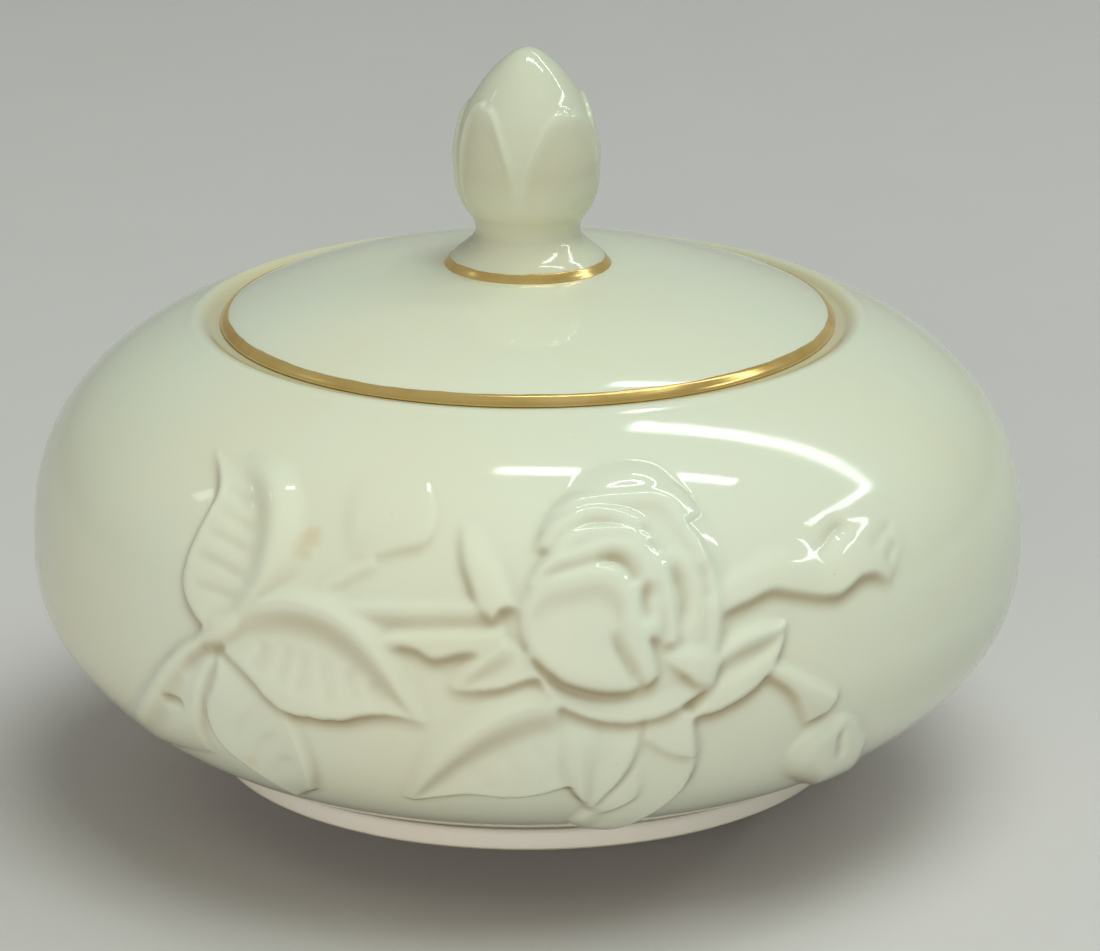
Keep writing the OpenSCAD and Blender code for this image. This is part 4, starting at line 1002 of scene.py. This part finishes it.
def knob():
    az = np.linspace(-180, 180, 360, endpoint=False)
    path = smooth(KNOB, 250)
    z, r = path[:, 1][:, None], path[:, 0][:, None]
    h = np.zeros((len(path), len(az)))
    cups = np.zeros(h.shape)
    base = np.clip((z - 70.0 - 5.0 * np.exp(-((az[None, :] / 38.0) ** 2))) / 5.0, 0, 1)
    base = base * base * (3 - 2 * base)
    for c, w, lean, z0, z1, out, sq in PETALS:
        mid = c + lean * np.clip((z - 78) / 8, 0, 1)
        d = (az[None, :] - mid + 180) % 360 - 180
        u = np.clip(np.abs(d) / w, 0, 1)
        top = z0 + (z1 - z0) * (1 - u**sq) ** 0.32
        slope = (z1 - z0) * 0.32 * np.maximum(1 - u**sq, 1e-3) ** (-0.68) * sq * u ** (sq - 1) / (w * np.pi / 180 * 9.0)
        gap = (top - z) / np.sqrt(1 + slope**2)
        gap = np.where(u >= 1, -1.0, gap)
        t = np.clip((gap + 0.1) / np.where(d > 0, 1.5, 0.9), 0, 1)
        step = t * t * (3 - 2 * t)
        rim = 0.10 * np.exp(-(((gap - 1.3) / 1.1) ** 2))
        cup = -0.2 * np.clip((gap - 1.2) / 3.0, 0, 1) * np.clip((z - 71.5) / 5, 0, 1)
        p = out * step + (rim + cup) * step
        hollow = np.clip((gap - 1.2) / 2.6, 0, 1) * np.clip((z - 73.0) / 3.5, 0, 1)
        cups = cups * (1 - step) + hollow * step
        h = np.where(step > 0.001, h * (1 - step) + np.maximum(p, out * 0.35 * step) * step, h)
    h = h * base
    for _ in range(3):
        h = 0.5 * h + 0.25 * (np.roll(h, 1, 1) + np.roll(h, -1, 1))
        h[1:-1] = 0.5 * h[1:-1] + 0.25 * (h[2:] + h[:-2])
    body = np.clip((path[:, 1] - 71) / 5, 0, 1) * np.clip((92.5 - path[:, 1]) / 7.0, 0, 1)
    push = h - 0.36 * body[:, None] + drift(az, path[:, 1] * 2, 0.03, 0.3)
    low = smooth([(0.6, 63.8), (5, 63.8), (10.0, 63.76), tuple(path[0])], 8)[:-1]
    rows = np.vstack([low, path])
    push = np.vstack([np.zeros((len(low), len(az))), push * np.clip((path[:, 1] - 63.8) / 1.5, 0, 1)[:, None]])
    ob = revolve("rosebud_knob", rows, az, push, cap_start=True, cap_end=True)
    # painted shade in the cupped hollows of the petals
    at = ob.data.attributes.new("pool_and_shade", "FLOAT", "POINT")
    pool_and_shade = np.vstack([np.zeros((len(low), len(az))), 0.3 * cups])
    at.data.foreach_set("value", np.r_[pool_and_shade.ravel(), 0, 0].astype(np.float32))
    return put(ob, "lid", GLAZE_KNOB_PAINTED_SHADE, "porcelain", "knob_neck", "knob_bud", "knob_petals")


def knob_gold():
    az = np.linspace(0, 360, 360, endpoint=False)
    a = np.radians(az)
    path = dedupe(smooth([(10.62, 63.80), (10.52, 63.90), (10.34, 64.09), (10.05, 64.5), (9.75, 64.86), (9.3, 65.3)], 300))
    s = np.r_[0, np.cumsum(np.linalg.norm(np.diff(path, axis=0), axis=1))]
    full = 1.32 + 0.07 * np.sin(2 * a + 1.1) + 0.05 * np.sin(5 * a) + 0.03 * np.sin(13 * a + 0.6) + 0.02 * np.sin(29 * a)
    t = np.linspace(0, 1, 16)[:, None]
    ss = t * full[None, :]
    nrm = frames(path)
    thick = 0.03 * np.sin(np.pi * t) ** 0.35 + 0 * ss
    return shell("knob_foot_gold", np.interp(ss, s, path[:, 0]), np.interp(ss, s, path[:, 1]),
                 np.interp(ss, s, nrm[:, 0]), np.interp(ss, s, nrm[:, 1]), thick, -0.08, az)


knob()
put(knob_gold(), "lid", GOLD, "gilding", "knob_gilding")

# ---------------------------------------------------------------- floor
def floor():
    n = 60
    prof = [(-1.6, 0.0), (0.9, 0.0), (1.15, 0.02), (1.35, 0.10), (1.5, 0.26), (1.58, 0.5), (1.6, 0.9), (1.6, 2.2)]
    c = smooth(prof, n)
    xs = np.linspace(-2.4, 2.4, 9)
    v = np.array([(x, y, z - 0.00002) for y, z in c for x in xs]) * 1000
    m = len(xs)
    q = [(i * m + j, i * m + j + 1, (i + 1) * m + j + 1, (i + 1) * m + j) for i in range(n - 1) for j in range(m - 1)]
    ob = mesh_from("studio_floor", v, q)
    mat, nt, b = nodes_of("pale_paper")
    geo = nt.nodes.new("ShaderNodeTexCoord").outputs["Object"]
    g = noise(nt, 30, 3, 0.5, 0, geo)
    col = ramp(nt, g.outputs["Fac"], [(0.3, (0.645, 0.615, 0.60)), (0.7, (0.655, 0.625, 0.61))])
    nt.links.new(col.outputs["Color"], b.inputs["Base Color"])
    b.inputs["Roughness"].default_value = 0.75
    b.inputs["Specular IOR Level"].default_value = 0.2
    ob.data.materials.append(mat)


floor()


# ---------------------------------------------------------------- lights
def area(name, at, look, size, power, colour=(1, 1, 1), glossy=True):
    d = bpy.data.lights.new(name, "AREA")
    d.shape = "RECTANGLE"
    d.size, d.size_y = size
    d.energy = power
    d.color = colour
    ob = bpy.data.objects.new(name, d)
    scene.collection.objects.link(ob)
    ob.location = at
    aim = (Vector(look) - Vector(at)).to_track_quat("-Z", "Y")
    ob.rotation_euler = aim.to_euler()
    ob.visible_glossy = glossy
    return ob


world = bpy.data.worlds.new("studio")
scene.world = world
world.use_nodes = True
bg = world.node_tree.nodes["Background"]
bg.inputs["Color"].default_value = (0.92, 1.0, 0.94, 1)
bg.inputs["Strength"].default_value = 0.22

area("key_soft", (0.22, -0.42, 1.25), (0, 0, 0.03), (0.7, 0.7), 6.9, (0.90, 1.0, 0.93), glossy=False)
area("front_fill", (-0.35, -1.3, 0.30), (0, 0, 0.03), (0.9, 0.5), 7.6, (1, 0.93, 0.88), glossy=False)
area("window_left", (-1.13, 0.14, 0.86), (0, 0, 0.05), (0.08, 0.15), 0.10)


def tube(name, a, b, width, power):
    a, b = Vector(a), Vector(b)
    mid = (a + b) / 2
    d = bpy.data.lights.new(name, "AREA")
    d.shape = "RECTANGLE"
    d.size, d.size_y = (b - a).length, width
    d.energy = power
    d.color = (0.92, 1.0, 1.0)
    ob = bpy.data.objects.new(name, d)
    scene.collection.objects.link(ob)
    x = (b - a).normalized()
    z = (mid - Vector((0, 0, 0.05))).normalized()
    y = z.cross(x).normalized()
    z = x.cross(y)
    m = Matrix.Identity(4)
    for i in range(3):
        m[i][0], m[i][1], m[i][2], m[i][3] = x[i], y[i], z[i], mid[i]
    ob.matrix_world = m


H = 1.25
tube("strip_over", (-0.07 * H, 0.035 * H, H), (0.57 * H, 0.01 * H, H), 0.075, 2.2)
tube("strip_back", (0.19 * H, 0.43 * H, H), (1.42 * H, 0.33 * H, H), 0.10, 4.2)
tube("strip_side", (1.42 * H, 0.33 * H, H), (1.36 * H, -0.30 * H, H), 0.10, 2.4)
